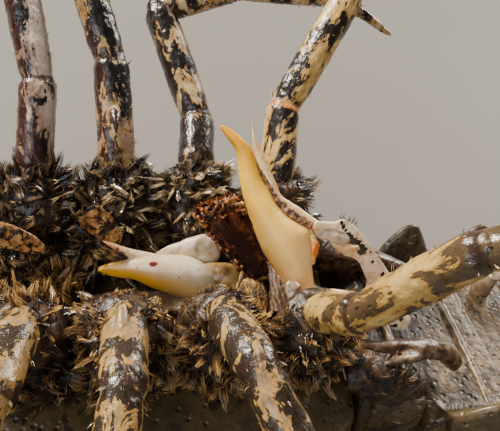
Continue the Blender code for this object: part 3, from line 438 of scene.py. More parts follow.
def stem_finish(name):
    """The stem's thin shell: grey-cream, with ragged black pigment, a warm hinge and a painted glow that
    stands in for daylight through it.
    """
    f = Finish(name, Subsurface_Radius=(1.0, 0.8, 0.6), **soft(0.3), **WET)
    fine = f.noise(0.6, 4.0, 0.5)
    colour = f.ramp(fine, (0.32, (0.70, 0.47, 0.27)), (0.52, (0.90, 0.68, 0.45)), (0.72, (0.97, 0.84, 0.64)))
    ragged = f.noise(0.42, 5.0, 0.9, roughness=0.7) * 0.85 - 0.42 + (f.noise(0.14, 3.0) * 0.26 - 0.13)
    blots = 0.0
    for x, z, size in PIGMENT:
        side = f.axis("X") * 1000.0 - x
        rise = f.axis("Z") * 1000.0 - z
        edge = (side * side + rise * rise) ** 0.5 + ragged * min(size * 3.0, 0.9)
        blots = (1 - edge.rise(size * 0.86, size)).at_least(blots)
    front = 1 - f.axis("Y").rise(0.0009, 0.0012)
    colour = f.blend(blots * front, colour, (0.007, 0.005, 0.005))
    colour = f.blend((1 - f.away(10.0, 0.9, 19.3).rise(0.4, 1.3)) * 0.8, colour, (0.62, 0.36, 0.12))
    # The glow is painted light, standing in for daylight through the thin shell.
    return f.paint(colour, 0.18 + fine * 0.2 - blots * 0.05, fine + blots * 0.3, 0.08, painted_glow=0.13)


def hinge_finish(name):
    """Clear straw-coloured horn round one bright orange bead."""
    f = Finish(name, **soft(0.5, 0.0007), **WET)
    fine = f.noise(0.4, 4.0, 0.5)
    colour = f.ramp(fine, (0.34, (0.55, 0.27, 0.07)), (0.5, (0.74, 0.44, 0.14)), (0.66, (0.84, 0.62, 0.30)))
    bead = 1 - (f.away(9.92, 0.2, 18.7) + fine * 0.3).rise(0.45, 0.85)
    return f.paint(f.blend(bead, colour, (0.80, 0.22, 0.006)), 0.2 + fine * 0.1, fine, 0.06)


def ribbed_skin(name):
    """A thin, clear fold of skin with brown ribs that run up it."""
    f = Finish(name, **soft(0.35, 0.0006), **WET)
    fine = f.noise(0.5, 4.0, 0.5)
    wave = (f.axis("X") * 24000.0 + f.axis("Z") * 6200.0 + f.noise(0.9, 3.0) * 12.0).sine()
    ribs = wave.rise(0.1, 0.9)
    colour = f.ramp(fine, (0.34, (0.10, 0.052, 0.026)), (0.5, (0.20, 0.115, 0.062)),
                    (0.66, (0.34, 0.22, 0.135)))
    colour = f.blend((1 - wave.rise(-0.9, -0.2)) * 0.25, colour, (0.50, 0.30, 0.11))
    colour = f.blend(ribs * fine.rise(0.35, 0.6) * 0.45, colour, (0.085, 0.038, 0.018))
    return f.paint(colour, 0.18 + fine * 0.2, fine * 0.6 + ribs, 0.07)


def cracked_plate(name):
    """A bare plate of thin shell between the bristles: orange-brown, with black cracks and a black rim."""
    f = Finish(name, **WET)
    fine = f.noise(0.5, 4.0, 0.6)
    colour = f.ramp(fine, (0.34, (0.16, 0.06, 0.02)), (0.5, (0.42, 0.19, 0.055)), (0.66, (0.60, 0.33, 0.11)))
    clouds = f.node("TexNoise", None, {"Vector": f.place, "Scale": 2600.0}, output="Color")
    bent = f.vector("ADD", f.place, f.scaled(clouds, 0.5 * MM))
    cracks = 1 - f.cells(0.75, "DISTANCE_TO_EDGE", bent).rise(0.02, 0.09)
    colour = f.blend(cracks * f.noise(0.8, 2.0).rise(0.38, 0.5), colour, (0.012, 0.006, 0.004))
    colour = f.blend(f.noise(0.9, 4.0, 0.5).rise(0.54, 0.60), colour, (0.014, 0.008, 0.006))
    return f.paint(colour, 0.24 + fine * 0.2, fine - cracks * 0.8, 0.10)


def speckled(name, colours, size, bump=0.08, **constants):
    """A wet finish that runs through three colours in blotches of one size."""
    f = Finish(name, **{**WET, **constants})
    fine = f.noise(size, 5.0, 0.5)
    colour = f.ramp(fine, *zip((0.34, 0.5, 0.66), colours))
    return f.paint(colour, 0.25 + fine * 0.25, fine, bump)


FINISHES = {
    "carapace": olive_shell("carapace_shell", carapace_tints),
    "tail": olive_shell("tail_shell", tail_bands),
    "fan": olive_shell("fan_shell", fan_tints, 0.10),
    "claw": claw_finish("claw_shell"),
    "belly": pale_belly("underside_shell"),
    "feeler": ringed_feeler("ringed_feeler"),
    "cornea": Finish("black_cornea", Base_Color=(0.006, 0.006, 0.008, 1), Roughness=0.08,
                     Coat_Weight=1.0).material,
    "leg_2_left": wet_limb(2, "left", (0.66, 0.53, 0.43), (0.58, 0.43, 0.32), (0.010, 0.007, 0.006), 0.38,
                           1.3, 0.9, lean=0.20, rim=(0.34, 0.20, 0.10)),
    "leg_3_left": wet_limb(3, "left", (0.56, 0.44, 0.31), (0.22, 0.13, 0.07), (0.010, 0.007, 0.006), 0.68,
                           1.5, 0.7, lean=-0.05),
    "leg_4_left": wet_limb(4, "left", (0.60, 0.47, 0.27), (0.32, 0.21, 0.10), (0.012, 0.008, 0.006), 0.60,
                           1.4, 0.3, lean=0.14),
    "leg_5_left": wet_limb(5, "left", (0.68, 0.46, 0.16), (0.50, 0.29, 0.08), (0.016, 0.010, 0.006), 0.47,
                           1.4, 0.0, (0.50, 0.17, 0.035)),
    "leg_5_right": wet_limb(5, "right", (0.58, 0.39, 0.12), (0.40, 0.25, 0.075), (0.085, 0.052, 0.023), 0.46,
                            2.2),
    # Near right legs: a darker copy of the leg shell, which paints the shade they hang in.
    **{f"leg_{limb}_right": wet_limb(limb, "right", (0.34, 0.22, 0.095), (0.17, 0.10, 0.042),
                                     (0.030, 0.019, 0.011), 0.55, 1.1) for limb in (2, 3, 4)},
    # Leg bases: their own dark brown, darkened further to paint the shade under their bristles.
    "coxa": speckled("leg_base", ((0.008, 0.005, 0.004), (0.030, 0.017, 0.009), (0.13, 0.070, 0.028)), 0.8,
                     0.2, Coat_Weight=0.0),
    "membrane": speckled("joint_skin", ((0.08, 0.034, 0.014), (0.19, 0.095, 0.036), (0.34, 0.19, 0.080)),
                         0.7, **soft(0.3)),
    "stylet_left": left_stylet_finish("amber_horn"),
    "stylet_right": right_stylet_finish("pearl_horn"),
    "stem": stem_finish("stem_skin"),
    # The groove's own brown band, darkened towards black to paint the shade under the shaft's edge.
    "groove": speckled("stained_groove", ((0.010, 0.005, 0.003), (0.20, 0.085, 0.035), (0.50, 0.27, 0.13)),
                       0.32, 0.12),
    "slab": speckled("clotted_brush", ((0.006, 0.002, 0.001), (0.028, 0.008, 0.003), (0.12, 0.034, 0.009)),
                     1.1, 0.1, Coat_Weight=0.0, Specular_IOR_Level=0.04),
    "hinge": hinge_finish("horny_amber"),
    "cracked": cracked_plate("cracked_plate"),
    "droplet": speckled("rusty_clots", ((0.020, 0.005, 0.002), (0.13, 0.032, 0.006), (0.42, 0.15, 0.022)),
                        0.4, 0.05, Coat_Weight=0.8, Coat_Roughness=0.03, Specular_IOR_Level=0.2),
    "amber_skin": speckled("amber_skin", ((0.050, 0.018, 0.005), (0.34, 0.15, 0.030), (0.68, 0.36, 0.08)),
                           0.5, 0.12),
    # The lying pleopod's root: its pale horn darkened to amber, which paints the shade it lies in.
    "root": speckled("root_skin", ((0.12, 0.062, 0.016), (0.30, 0.17, 0.045), (0.48, 0.31, 0.10)), 0.8, 0.08,
                     **soft(0.3)),
    # Second pleopods: their own brown, darkened further to paint the shade of the hollow at the tail's root.
    "second": speckled("second_stylet", ((0.020, 0.011, 0.006), (0.075, 0.038, 0.018), (0.20, 0.12, 0.06)),
                       0.7, 0.10),
    "bulge": speckled("creamy_bulge", ((0.62, 0.36, 0.12), (0.80, 0.56, 0.24), (0.86, 0.70, 0.42)), 0.6,
                      0.04, **soft(0.45, 0.0007)),
    "point": speckled("straw_horn", ((0.68, 0.38, 0.12), (0.80, 0.54, 0.22), (0.84, 0.64, 0.34)), 0.9, 0.03,
                      **soft(0.45)),
    "grey_skin": speckled("pearly_skin", ((0.42, 0.29, 0.17), (0.60, 0.46, 0.30), (0.74, 0.62, 0.46)), 0.7,
                          0.06, **soft(0.35)),
    "fold_skin": ribbed_skin("ribbed_skin"),
    "leaf": speckled("swimmeret_skin", ((0.10, 0.055, 0.028), (0.24, 0.15, 0.08), (0.42, 0.30, 0.18)), 0.8,
                     0.05, **soft(0.3, 0.0006)),
    "rib": speckled("tail_rib", ((0.040, 0.024, 0.012), (0.11, 0.070, 0.036), (0.20, 0.135, 0.075)), 0.5,
                    0.10),
    "rust": bristle_finish("rusty_bristles", (0.014, 0.004, 0.002), (0.11, 0.026, 0.007),
                           (0.46, 0.15, 0.028), 0.45, 0.05),
    "lens": speckled("clear_lobe", ((0.15, 0.080, 0.045), (0.30, 0.19, 0.125), (0.50, 0.36, 0.25)), 0.5,
                     0.05, Coat_Weight=0.6, Coat_Roughness=0.06, **soft(0.4, 0.0006)),
    "bristle": bristle_finish("wet_bristles", (0.016, 0.010, 0.006), (0.19, 0.105, 0.042),
                              (0.82, 0.60, 0.31), 0.17, 1.0),
    "golden": bristle_finish("golden_bristles", (0.024, 0.012, 0.006), (0.29, 0.145, 0.042),
                             (0.88, 0.55, 0.19), 0.2, 0.8),
    "fringe": bristle_finish("tail_fringe", (0.09, 0.05, 0.025), (0.35, 0.22, 0.12), (0.66, 0.50, 0.34)),
}


# Modelling.

def mix(a, b, share):
    return a + (b - a) * share


def clipped(value, low, high):
    return min(max(value, low), high)


def scattered(size):
    return Vector([random.uniform(-size, size) for _ in range(3)])


def mirrored(points, sign):
    return [Vector((p[0], p[1] * sign, p[2])) for p in points]


def ring(centre, normal, side, half_width, half_depth, sides, square):
    """Points round an oval that faces along normal, with its width along side."""
    facing = Vector(normal).normalized()
    across = Vector(side)
    across = (across - facing * facing.dot(across)).normalized()
    upward = facing.cross(across)
    points = []
    for k in range(sides):
        angle = 2 * math.pi * (k + 0.5) / sides
        c, s = math.cos(angle), math.sin(angle)
        wide = half_width * math.copysign(abs(c) ** square, c)
        deep = half_depth * math.copysign(abs(s) ** square, s)
        points.append(Vector(centre) + across * wide + upward * deep)
    return points


def corner_order(part):
    """A number that sorts edges and faces by their first and last corner."""
    corners = [v.index for v in part.verts]
    return min(corners) * 1e6 + max(corners)


def loft(rings):
    """A closed body: a capped circle extruded from ring to ring. Sorting keeps its faces in one order."""
    bm = bmesh.new()
    bmesh.ops.create_circle(bm, cap_ends=True, segments=len(rings[0]), radius=1.0)
    bm.faces.ensure_lookup_table()
    cap = bm.faces[0]
    for i, points in enumerate(rings):
        if i:
            made = bmesh.ops.extrude_face_region(bm, geom=[cap])["geom"]
            if i > 1:
                bmesh.ops.delete(bm, geom=[cap], context="FACES_ONLY")
            cap = next(g for g in made if isinstance(g, bmesh.types.BMFace))
        for corner, point in zip(cap.loops, points):
            corner.vert.co = point
    bmesh.ops.recalc_face_normals(bm, faces=bm.faces)
    bm.verts.index_update()
    bm.edges.sort(key=corner_order)
    bm.faces.sort(key=corner_order)
    return bm


def smooth_run(stations, count):
    """Stations read evenly from a smooth curve through the given ones. Each is a point and any sizes."""
    return [(Vector(row[:3]), *[max(size, THINNEST) for size in row[3:]])
            for row in smooth_rows([[*s[0], *s[1:]] for s in stations], count)]


def path_rings(stations, side, sides, square=1.0):
    """Rings across a path. A station is its point, half width and half depth."""
    points = [Vector(s[0]) for s in stations]
    end = len(points) - 1
    rings = []
    for i, (_, half_width, half_depth) in enumerate(stations):
        normal = points[min(i + 1, end)] - points[max(i - 1, 0)]
        rings.append(ring(points[i], normal, side, half_width, half_depth, sides, square))
    return rings


def tube(stations, side, count, sides, square=1.0):
    """A smooth closed body along a curved path."""
    return loft(path_rings(smooth_run(stations, count), side, sides, square))


def smooth_rows(rows, count):
    """Rows of numbers read evenly from a smooth curve through the given ones."""
    last = len(rows) - 1
    made = []
    for i in range(count + 1):
        place = min(i / count * last, last - 1e-6)
        k = int(place)
        t = place - k
        near = [rows[max(k - 1, 0)], rows[k], rows[k + 1], rows[min(k + 2, last)]]
        made.append([0.5 * (2 * b + (c - a) * t + (2 * a - 5 * b + 4 * c - d) * t ** 2
                            + (3 * b - a - 3 * c + d) * t ** 3) for a, b, c, d in zip(*near)])
    return made


def edge_rows(edges, count):
    """Smooth rows of a flat form: a point on each edge, and half the thickness."""
    return [(Vector(row[:3]), Vector(row[3:6]), row[6])
            for row in smooth_rows([[*a, *b, thick] for a, b, thick in edges], count)]


def blade(edges, facing, count, sides, square=1.0, sink=0.0):
    """A flat form given by pairs of points on its two edges, with half its thickness at each."""
    facing = Vector(facing).normalized()
    turns = [2 * math.pi * (k + 0.5) / sides for k in range(sides)]
    outline = [(math.copysign(abs(math.cos(turn)) ** square, math.cos(turn)), math.sin(turn))
               for turn in turns]
    rings = []
    for a, b, thick in edge_rows(edges, count):
        thick = max(thick, THINNEST)
        middle, half = (a + b) / 2, (b - a) / 2
        rings.append([middle + half * wide + facing * (thick * deep + sink) for wide, deep in outline])
    return loft(rings)


def joined(shells):
    """One bmesh that holds the given ones."""
    whole = bmesh.new()
    for bm in shells:
        held = bpy.data.meshes.new("held")
        bm.to_mesh(held)
        whole.from_mesh(held)
        bm.free()
        bpy.data.meshes.remove(held)
    return whole


def solid(name, bm, finish, nodes=(), scale=MM):
    """A piece of the model at the origin, riding on the whole animal."""
    if scale != 1:
        bm.transform(Matrix.Scale(scale, 4))
    mesh = bpy.data.meshes.new(name)
    bm.to_mesh(mesh)
    bm.free()
    made = bpy.data.objects.new(name, mesh)
    bpy.context.scene.collection.objects.link(made)
    mesh.materials.append(FINISHES[finish])
    mesh.shade_smooth()
    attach(made, "root")
    if nodes:
        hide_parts(*nodes)
    return made


def baked(made):
    """Applies a piece's modifiers."""
    bpy.context.view_layer.update()
    done = bpy.data.meshes.new_from_object(made.evaluated_get(bpy.context.evaluated_depsgraph_get()))
    made.modifiers.clear()
    made.data = done
    done.shade_smooth()
    return made


def finer(made):
    """Splits a piece's faces in four and rounds them."""
    rounder = made.modifiers.new("Finer", "SUBSURF")
    rounder.levels = rounder.render_levels = 1


def lumpy(made, height, size, depth):
    """Raises cloudy lumps on a piece. Sizes are in millimetres."""
    cloud = bpy.data.textures.new(made.name + "_lumps", "CLOUDS")
    cloud.noise_scale = size * MM
    cloud.noise_depth = depth
    raised = made.modifiers.new("Lumps", "DISPLACE")
    raised.texture = cloud
    raised.texture_coords = "LOCAL"
    raised.strength = height * MM
    raised.mid_level = 0.5


def rough(made, lumps, size, depth=3):
    """Rounds a piece and raises fine lumps on it."""
    finer(made)
    lumpy(made, lumps, size, depth)
    return baked(made)


def reskinned(made, voxel, smooth, lumps, size, depth=4):
    """Melts a piece into one skin of small faces, smooths it and raises fine lumps."""
    skin = made.modifiers.new("Skin", "REMESH")
    skin.mode = "VOXEL"
    skin.voxel_size = voxel * MM
    evened = made.modifiers.new("Soft", "SMOOTH")
    evened.factor = 0.5
    evened.iterations = smooth
    if lumps:
        lumpy(made, lumps, size, depth)
    return baked(made)


def rough_blade(name, edges, facing, count, sides, finish, lumps, size, square=1.0, sink=0.0):
    """A rough piece from the two edges of a flat form."""
    made = solid(name, blade(edges, facing, count, sides, square, sink), finish)
    return rough(made, lumps, size)


def from_node(node, name, finish, voxel, smooth, lumps=0.0, size=1.0):
    """A finer piece over a merged copy of a frame node."""
    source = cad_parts[node]
    bm = bmesh.new()
    bm.from_mesh(source.data)
    bm.transform(source.matrix_world)
    bmesh.ops.remove_doubles(bm, verts=bm.verts, dist=1e-7)
    made = solid(name, bm, finish, (node,), scale=1)
    finer(made)
    return reskinned(made, voxel, smooth, lumps, size)


# Bristles.

STRAND_POINTS = 4
MOST_STRANDS = 6000
CORE_STRANDS, LOCK_RADIUS = 3, 0.042
FRONT_X, WHOLE_LENGTH, CORE_Z = -66, 126, 8


def spot_on_map(root):
    """Where a bristle grows, on a map that is wrapped round the animal."""
    length_share = (root.x - FRONT_X) / WHOLE_LENGTH
    turn_share = math.atan2(root.y, root.z - CORE_Z) / (2 * math.pi) + 0.5
    return clipped(length_share, 0.0, 0.99), clipped(turn_share, 0.0, 0.99)


class Coat:
    """Bristles that are gathered as curves, then made one mesh."""

    def __init__(self):
        self.strands = []

    def strand(self, root, tip, bow, radius, tone, patch):
        points = []
        for i in range(STRAND_POINTS):
            t = i / (STRAND_POINTS - 1)
            points.append((mix(root, tip, t) + bow * math.sin(math.pi * t * 0.9), radius * (1 - t) ** 0.7))
        self.strands.append((points, tone, patch))

    def tuft(self, root, direction, length, count, spread, gather, radius, tone, bow=0.15):
        """Bristles with scattered roots that cling together at their tips."""
        root, direction = Vector(root), Vector(direction).normalized()
        tip = root + direction * length
        patch = spot_on_map(root)
        sway = scattered(1.0) * bow * length
        for _ in range(count):
            jog = scattered(1.0)
            jog -= direction * direction.dot(jog)
            end = tip + jog * spread * gather - direction * length * random.uniform(0, 0.35)
            bend = sway * random.uniform(0.6, 1.3)
            size = radius * random.uniform(0.75, 1.2)
            shade = clipped(tone + random.uniform(-0.18, 0.18), 0.1, 1.0)
            self.strand(root + jog * spread - direction * 0.12, end, bend, size, shade, patch)

    def lock(self, root, direction, length, count, width, tone):
        """A wet lock: a flat row of bristles that cling together round three thick, glossy ones."""
        root, direction = Vector(root), Vector(direction).normalized()
        curl = scattered(1.0)
        curl = (curl - direction * direction.dot(curl)) * length * 0.5
        tip = root + direction * length + curl
        flat = scattered(1.0).cross(direction).normalized()
        patch = spot_on_map(root)
        for k in range(count + CORE_STRANDS):
            core = k >= count
            jog = flat * random.uniform(-1.4, 1.4) * width + scattered(width * 0.3)
            jog -= direction * direction.dot(jog)
            end = tip + jog * 0.38 - direction * length * random.uniform(0, 0.25)
            bend = curl * random.uniform(-0.6, -0.3)
            size = length * 0.05 if core else LOCK_RADIUS * random.uniform(0.7, 1.1)
            shade = 0.0 if core else clipped(tone + random.uniform(-0.2, 0.2), 0.1, 1.0)
            foot = root + jog * (0.5 if core else 1.0) - direction * 0.15
            self.strand(foot, end, bend, size, shade, patch)

    def piece(self, name, finish="bristle", slot="leg"):
        """The bristles gathered so far as meshes of a moderate size each."""
        shares = range(0, len(self.strands), MOST_STRANDS)
        for k, first in enumerate(shares):
            numbered = f"{name}_{k + 1}" if len(shares) > 1 else name
            self.mesh(self.strands[first:first + MOST_STRANDS], numbered, finish, slot)

    def mesh(self, strands, name, finish, slot):
        """One mesh of bristles, with a map along each and a map of where each grows."""
        curve = bpy.data.curves.new(name, "CURVE")
        curve.dimensions = "3D"
        curve.bevel_depth = MM
        curve.bevel_resolution = 0
        for points, _, _ in strands:
            spline = curve.splines.new("POLY")
            spline.points.add(len(points) - 1)
            for point, (place, size) in zip(spline.points, points):
                point.co = (*(place * MM), 1.0)
                point.radius = max(size, 0.004)
        holder = bpy.data.objects.new(name + "_curves", curve)
        bpy.context.scene.collection.objects.link(holder)
        bpy.context.view_layer.update()
        mesh = bpy.data.meshes.new_from_object(holder.evaluated_get(bpy.context.evaluated_depsgraph_get()))
        bpy.data.objects.remove(holder)
        mesh.name = name
        round_count = len(mesh.vertices) // (len(strands) * STRAND_POINTS)
        for layer in list(mesh.uv_layers):
            mesh.uv_layers.remove(layer)
        way, grown = [], []
        for loop in mesh.loops:
            strand, place = divmod(loop.vertex_index, STRAND_POINTS * round_count)
            step, turn = divmod(place, round_count)
            _, tone, patch = strands[strand]
            t = step / (STRAND_POINTS - 1)
            way += (tone, t)
            grown += (patch[0] + 0.003 * turn / round_count, patch[1] + 0.003 * t)
        mesh.uv_layers.new(name="OFBake").data.foreach_set("uv", grown)
        mesh.uv_layers.new(name="Strand").data.foreach_set("uv", way)
        mesh.materials.clear()
        mesh.materials.append(FINISHES[finish])
        mesh.shade_smooth()
        made = bpy.data.objects.new(name, mesh)
        bpy.context.scene.collection.objects.link(made)
        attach(made, "root")


def places(made, count, where):
    """Random places on a piece's skin, more of them on larger faces: point and normal, in millimetres."""
    faces, weights = [], []
    for face in made.data.polygons:
        if where(face.center / MM, face.normal):
            faces.append(face)
            weights.append(face.area)
    if not faces:
        return []
    vertices = made.data.vertices
    found = []
    for face in random.choices(faces, weights, k=count):
        shares = [random.random() for _ in face.vertices]
        total = sum(shares)
        point = sum((vertices[v].co * s for v, s in zip(face.vertices, shares)), Vector()) / total
        found.append((point / MM, face.normal.copy()))
    return found


# The stage: camera, lights and floor.

TURN, TILT, ROLL = math.radians(16), math.radians(40), math.radians(-9)
EYE = Vector((-3.6, -30.7, 48.65))
look = Vector((math.sin(TURN) * math.cos(TILT), math.cos(TURN) * math.cos(TILT), -math.sin(TILT)))
level = Vector((math.cos(TURN), -math.sin(TURN), 0))
over = level.cross(look)
up = level * math.sin(ROLL) + over * math.cos(ROLL)


def aimed(holder, eye, facing, upward):
    """Puts a camera or lamp at a point in millimetres, looking along facing."""
    facing = facing.normalized()
    across = facing.cross(upward).normalized()
    upward = across.cross(facing)
    holder.matrix_world = Matrix((
        (across.x, upward.x, -facing.x, eye.x * MM),
        (across.y, upward.y, -facing.y, eye.y * MM),
        (across.z, upward.z, -facing.z, eye.z * MM),
        (0, 0, 0, 1)))
    bpy.context.scene.collection.objects.link(holder)


def make_camera():
    camera = bpy.data.objects.new("camera", bpy.data.cameras.new("camera"))
    camera.data.sensor_width = 36.0
    camera.data.lens = 51.84
    camera.data.clip_start = 0.001
    aimed(camera, EYE, look, up)
    bpy.context.scene.camera = camera


def lamp(name, place, target, size, power, colour):
    light = bpy.data.lights.new(name, "AREA")
    light.shape = "DISK"
    light.size = size * MM
    light.energy = power
    light.color = colour
    aimed(bpy.data.objects.new(name, light), Vector(place), Vector(target) - Vector(place),
          Vector((0, 0.01, 1)))


def make_stage():
    """A plain pale floor under soft studio light, with the main light high and behind on the left."""
    bm = bmesh.new()
    bmesh.ops.create_grid(bm, x_segments=1, y_segments=1, size=1.5)
    mesh = bpy.data.meshes.new("floor")
    bm.to_mesh(mesh)
    bm.free()
    floor = bpy.data.objects.new("floor", mesh)
    bpy.context.scene.collection.objects.link(floor)
    plain = Finish("plain_floor", Roughness=0.75)
    clouds = plain.noise(60.0, 2.0)
    pale = plain.ramp(clouds, (0.3, (0.155, 0.143, 0.129)), (0.7, (0.171, 0.158, 0.144)))
    mesh.materials.append(plain.paint(pale))
    lamp("main", (-320, 360, 520), (3, 0, 17), 130, 13.6, (1.0, 0.94, 0.82))
    lamp("fill", (-440, -560, 520), (3, 0, 15), 600, 5.0, (0.94, 0.96, 1.0))
    lamp("rim", (480, 400, 280), (3, 0, 15), 200, 5.0, (1.0, 0.92, 0.82))
    world = bpy.data.worlds.new("studio")
    world.use_nodes = True
    sky = world.node_tree.nodes["Background"]
    sky.inputs["Color"].default_value = (0.80, 0.84, 0.90, 1)
    sky.inputs["Strength"].default_value = 0.12
    bpy.context.scene.world = world


# The walking legs.

PINCER_LEGS = (2, 3)
ISCHIUM, MERUS, CARPUS, PROPODUS, DACTYL = 1.17, 1.10, 1.02, 0.86, 0.58
LEG_DEPTH = 0.92


def bend_axis(start, end):
    return (Vector(end) - Vector(start)).cross(Vector((0, 0, 1))).normalized()


def length_of_shell(start, end, root, middle, mouth, side):
    """One leg joint's shell: a narrow root, a swell and a collared mouth. The sizes are half widths."""
    start, run = Vector(start), Vector(end) - Vector(start)
    profile = ((0.0, root * 0.62), (0.02, root * 0.80), (0.06, root * 0.93), (0.14, root * 0.98),
               (0.32, mix(root, middle, 0.7)), (0.52, middle), (0.70, mix(middle, mouth, 0.4)),
               (0.86, mix(middle, mouth, 0.7)), (0.94, mouth * 0.99), (0.98, mouth * 0.94),
               (0.995, mouth * 0.84), (1.0, mouth * 0.70))
    stations = [(start + run * share, size, size * LEG_DEPTH) for share, size in profile]
    return loft(path_rings(stations, side, 20, 0.94))


def knuckle(centre, size, along, side):
    """The soft skin that shows between two shells."""
    centre, along = Vector(centre), Vector(along).normalized()
    stations = [(centre + along * size * rise, size * width, size * width * 0.9)
                for rise, width in ((-0.95, 0.3), (-0.7, 0.7), (-0.3, 0.88), (0.1, 0.9), (0.5, 0.85),
                                    (0.8, 0.62), (0.95, 0.3))]
    return loft(path_rings(stations, side, 16))


SPIKE_GAP, SPIKE_LENGTH, SPIKE_TONE = 1.1, 0.55, 0.9


def spikes(coat, start, end, size, side):
    """Short stiff tufts in rows along a leg joint."""
    start, end = Vector(start), Vector(end)
    along = (end - start).normalized()
    other = along.cross(side).normalized()
    count = int((end - start).length / SPIKE_GAP)
    for row in (0.1, 1.3, 2.2, 3.1, 4.0, 5.2):
        for k in range(count):
            turn = row + random.uniform(-0.35, 0.35)
            out = side * math.cos(turn) + other * math.sin(turn)
            at = mix(start, end, (k + random.uniform(0.1, 0.9)) / count) + out * size * 0.86
            coat.tuft(at, out + along * random.uniform(0.4, 1.2), SPIKE_LENGTH * random.uniform(0.5, 1.3),
                      random.choice((1, 2, 3, 5)), 0.07, 0.9, 0.022, SPIKE_TONE, 0.15)


def make_leg(number, side, coat):
    """A leg's base, which is returned, its upper and lower shells, and on the third leg a hook."""
    sign = SIDES[side]
    j1, j2, j3, j4, j5, tip = [Vector(p) for p in LEG_JOINTS[number, side]]
    name = f"leg_{number}_{side}"
    x = COXA_X[number]
    spread, room = (0.5, 0.45) if number == 5 else (0.0, 0.0)
    crown = Vector((x, 5.1 * sign, 17.8))
    coxa = [((x, (4.6 + spread) * sign, BELLY_Z + GAP), 2.3, 2.5 - room),
            ((x, (4.8 + spread) * sign, 16.2), 2.42, 2.5 - room),
            ((x, (5.1 + spread) * sign, 17.8), 2.40, 2.35 - room),
            (mix(crown, j1, 0.6), 2.0, 1.75), (mix(crown, j1, 0.9), 1.55, 1.4), (j1, 1.0, 1.0)]
    base = solid(name + "_base", tube(coxa, (1, 0, 0), 14, 24, 0.85), "coxa")
    rough(base, 0.5, 1.3, 4)

    bend = bend_axis(j1, j3) * sign
    upper = [length_of_shell(j1, j2, ISCHIUM * 1.04, ISCHIUM, ISCHIUM, bend),
             length_of_shell(j2, j3, MERUS, MERUS * 1.03, MERUS, bend),
             knuckle(j1, ISCHIUM, j2 - j1, bend), knuckle(j2, MERUS, j3 - j1, bend),
             knuckle(j3, CARPUS * 0.95, j3 - j2, bend)]
    made = solid(name + "_thigh", joined(upper), name, (name + "_upper",))
    reskinned(made, 0.13 if side == "left" else 0.155, 3, 0.16, 0.8, 3)

    fold = bend_axis(j3, j5) * sign
    lower = [length_of_shell(j3, j4, CARPUS * 0.98, CARPUS, CARPUS * 0.98, fold),
             length_of_shell(j4, j5, PROPODUS * 1.04, PROPODUS * 1.02, PROPODUS * 0.92, fold),
             knuckle(j4, PROPODUS, j5 - j3, fold)]
    if number in PINCER_LEGS:
        across = fold * 0.32
        for root, out, thick in ((mix(j5, j4, 0.12), -1.0, 0.5), (mix(j5, j4, 0.05), 1.0, 0.46)):
            finger = [(root + across * out, thick, thick * 1.1),
                      (mix(j5, tip, 0.2) + across * out * 1.5, thick * 0.95, thick),
                      (mix(j5, tip, 0.65) + across * out * 1.25, thick * 0.7, thick * 0.7),
                      (tip + across * out * 0.3, 0.1, 0.1)]
            lower.append(tube(finger, fold, 12, 12))
    else:
        lower.append(knuckle(j5, DACTYL, tip - j5, fold))
        claw = [(j5, DACTYL * 0.6, DACTYL * 0.6), (mix(j5, tip, 0.1), DACTYL, DACTYL * 0.9),
                (mix(j5, tip, 0.5) + Vector((0, 0, 0.15)), DACTYL * 0.72, DACTYL * 0.7),
                (mix(j5, tip, 0.85), 0.26, 0.26), (tip, 0.09, 0.09)]
        lower.append(tube(claw, fold, 14, 14))
    made = solid(name + "_shank", joined(lower), name, (name + "_lower",))
    reskinned(made, 0.12 if side == "left" else 0.14, 2, 0.12, 0.7, 3)

    for a, b, size, turn in ((j1, j2, ISCHIUM, bend), (j2, j3, MERUS, bend), (j3, j4, CARPUS, fold),
                             (j4, j5, PROPODUS, fold)):
        spikes(coat, a, b, size, turn)
    if number == 3:
        hook = mix(j1, j2, 0.55)
        inward = Vector((0, -0.9 * sign, 0.4))
        back = (j1 - j2).normalized()
        barb = [(hook + inward * 0.6, 0.5, 0.45), (hook + inward * 1.6, 0.38, 0.34),
                (hook + inward * 2.3 + back * 0.5, 0.2, 0.18),
                (hook + inward * 2.3 + back * 1.1, 0.05, 0.05)]
        solid(name + "_hook", tube(barb, (1, 0, 0), 10, 10), name)
    return base


# The first pleopods: one stands, the other lies. Each pair of points is a place on the form's two edges.

STANDING_BLADE = [
    ((4.16, 6.42, 23.70), (4.24, 6.46, 23.80), 0.05), ((4.30, 6.20, 23.52), (4.62, 6.34, 23.78), 0.17),
    ((4.66, 5.80, 23.16), (5.24, 5.97, 23.50), 0.30), ((5.07, 5.38, 22.71), (5.78, 5.55, 23.16), 0.40),
    ((5.23, 4.89, 22.18), (6.20, 5.09, 22.75), 0.42), ((5.28, 4.51, 21.72), (6.44, 4.46, 22.06), 0.48),
    ((5.34, 4.06, 21.20), (6.74, 3.87, 21.46), 0.55), ((5.51, 3.47, 20.54), (7.20, 3.28, 20.90), 0.66),
    ((5.71, 2.96, 19.99), (7.70, 2.63, 20.28), 0.85), ((5.96, 2.38, 19.37), (8.33, 2.08, 19.83), 0.95),
    ((6.17, 1.87, 18.83), (9.06, 1.67, 19.58), 1.00), ((6.43, 1.35, 18.28), (9.60, 1.29, 19.31), 1.00),
    ((6.86, 0.75, 17.71), (9.68, 0.71, 18.64), 0.95), ((7.59, -0.12, 16.90), (9.69, -0.01, 17.77), 0.85),
    ((8.31, -0.92, 16.18), (9.77, -0.64, 17.02), 0.75), ((8.80, -1.30, 15.60), (9.95, -1.10, 16.20), 0.60)]
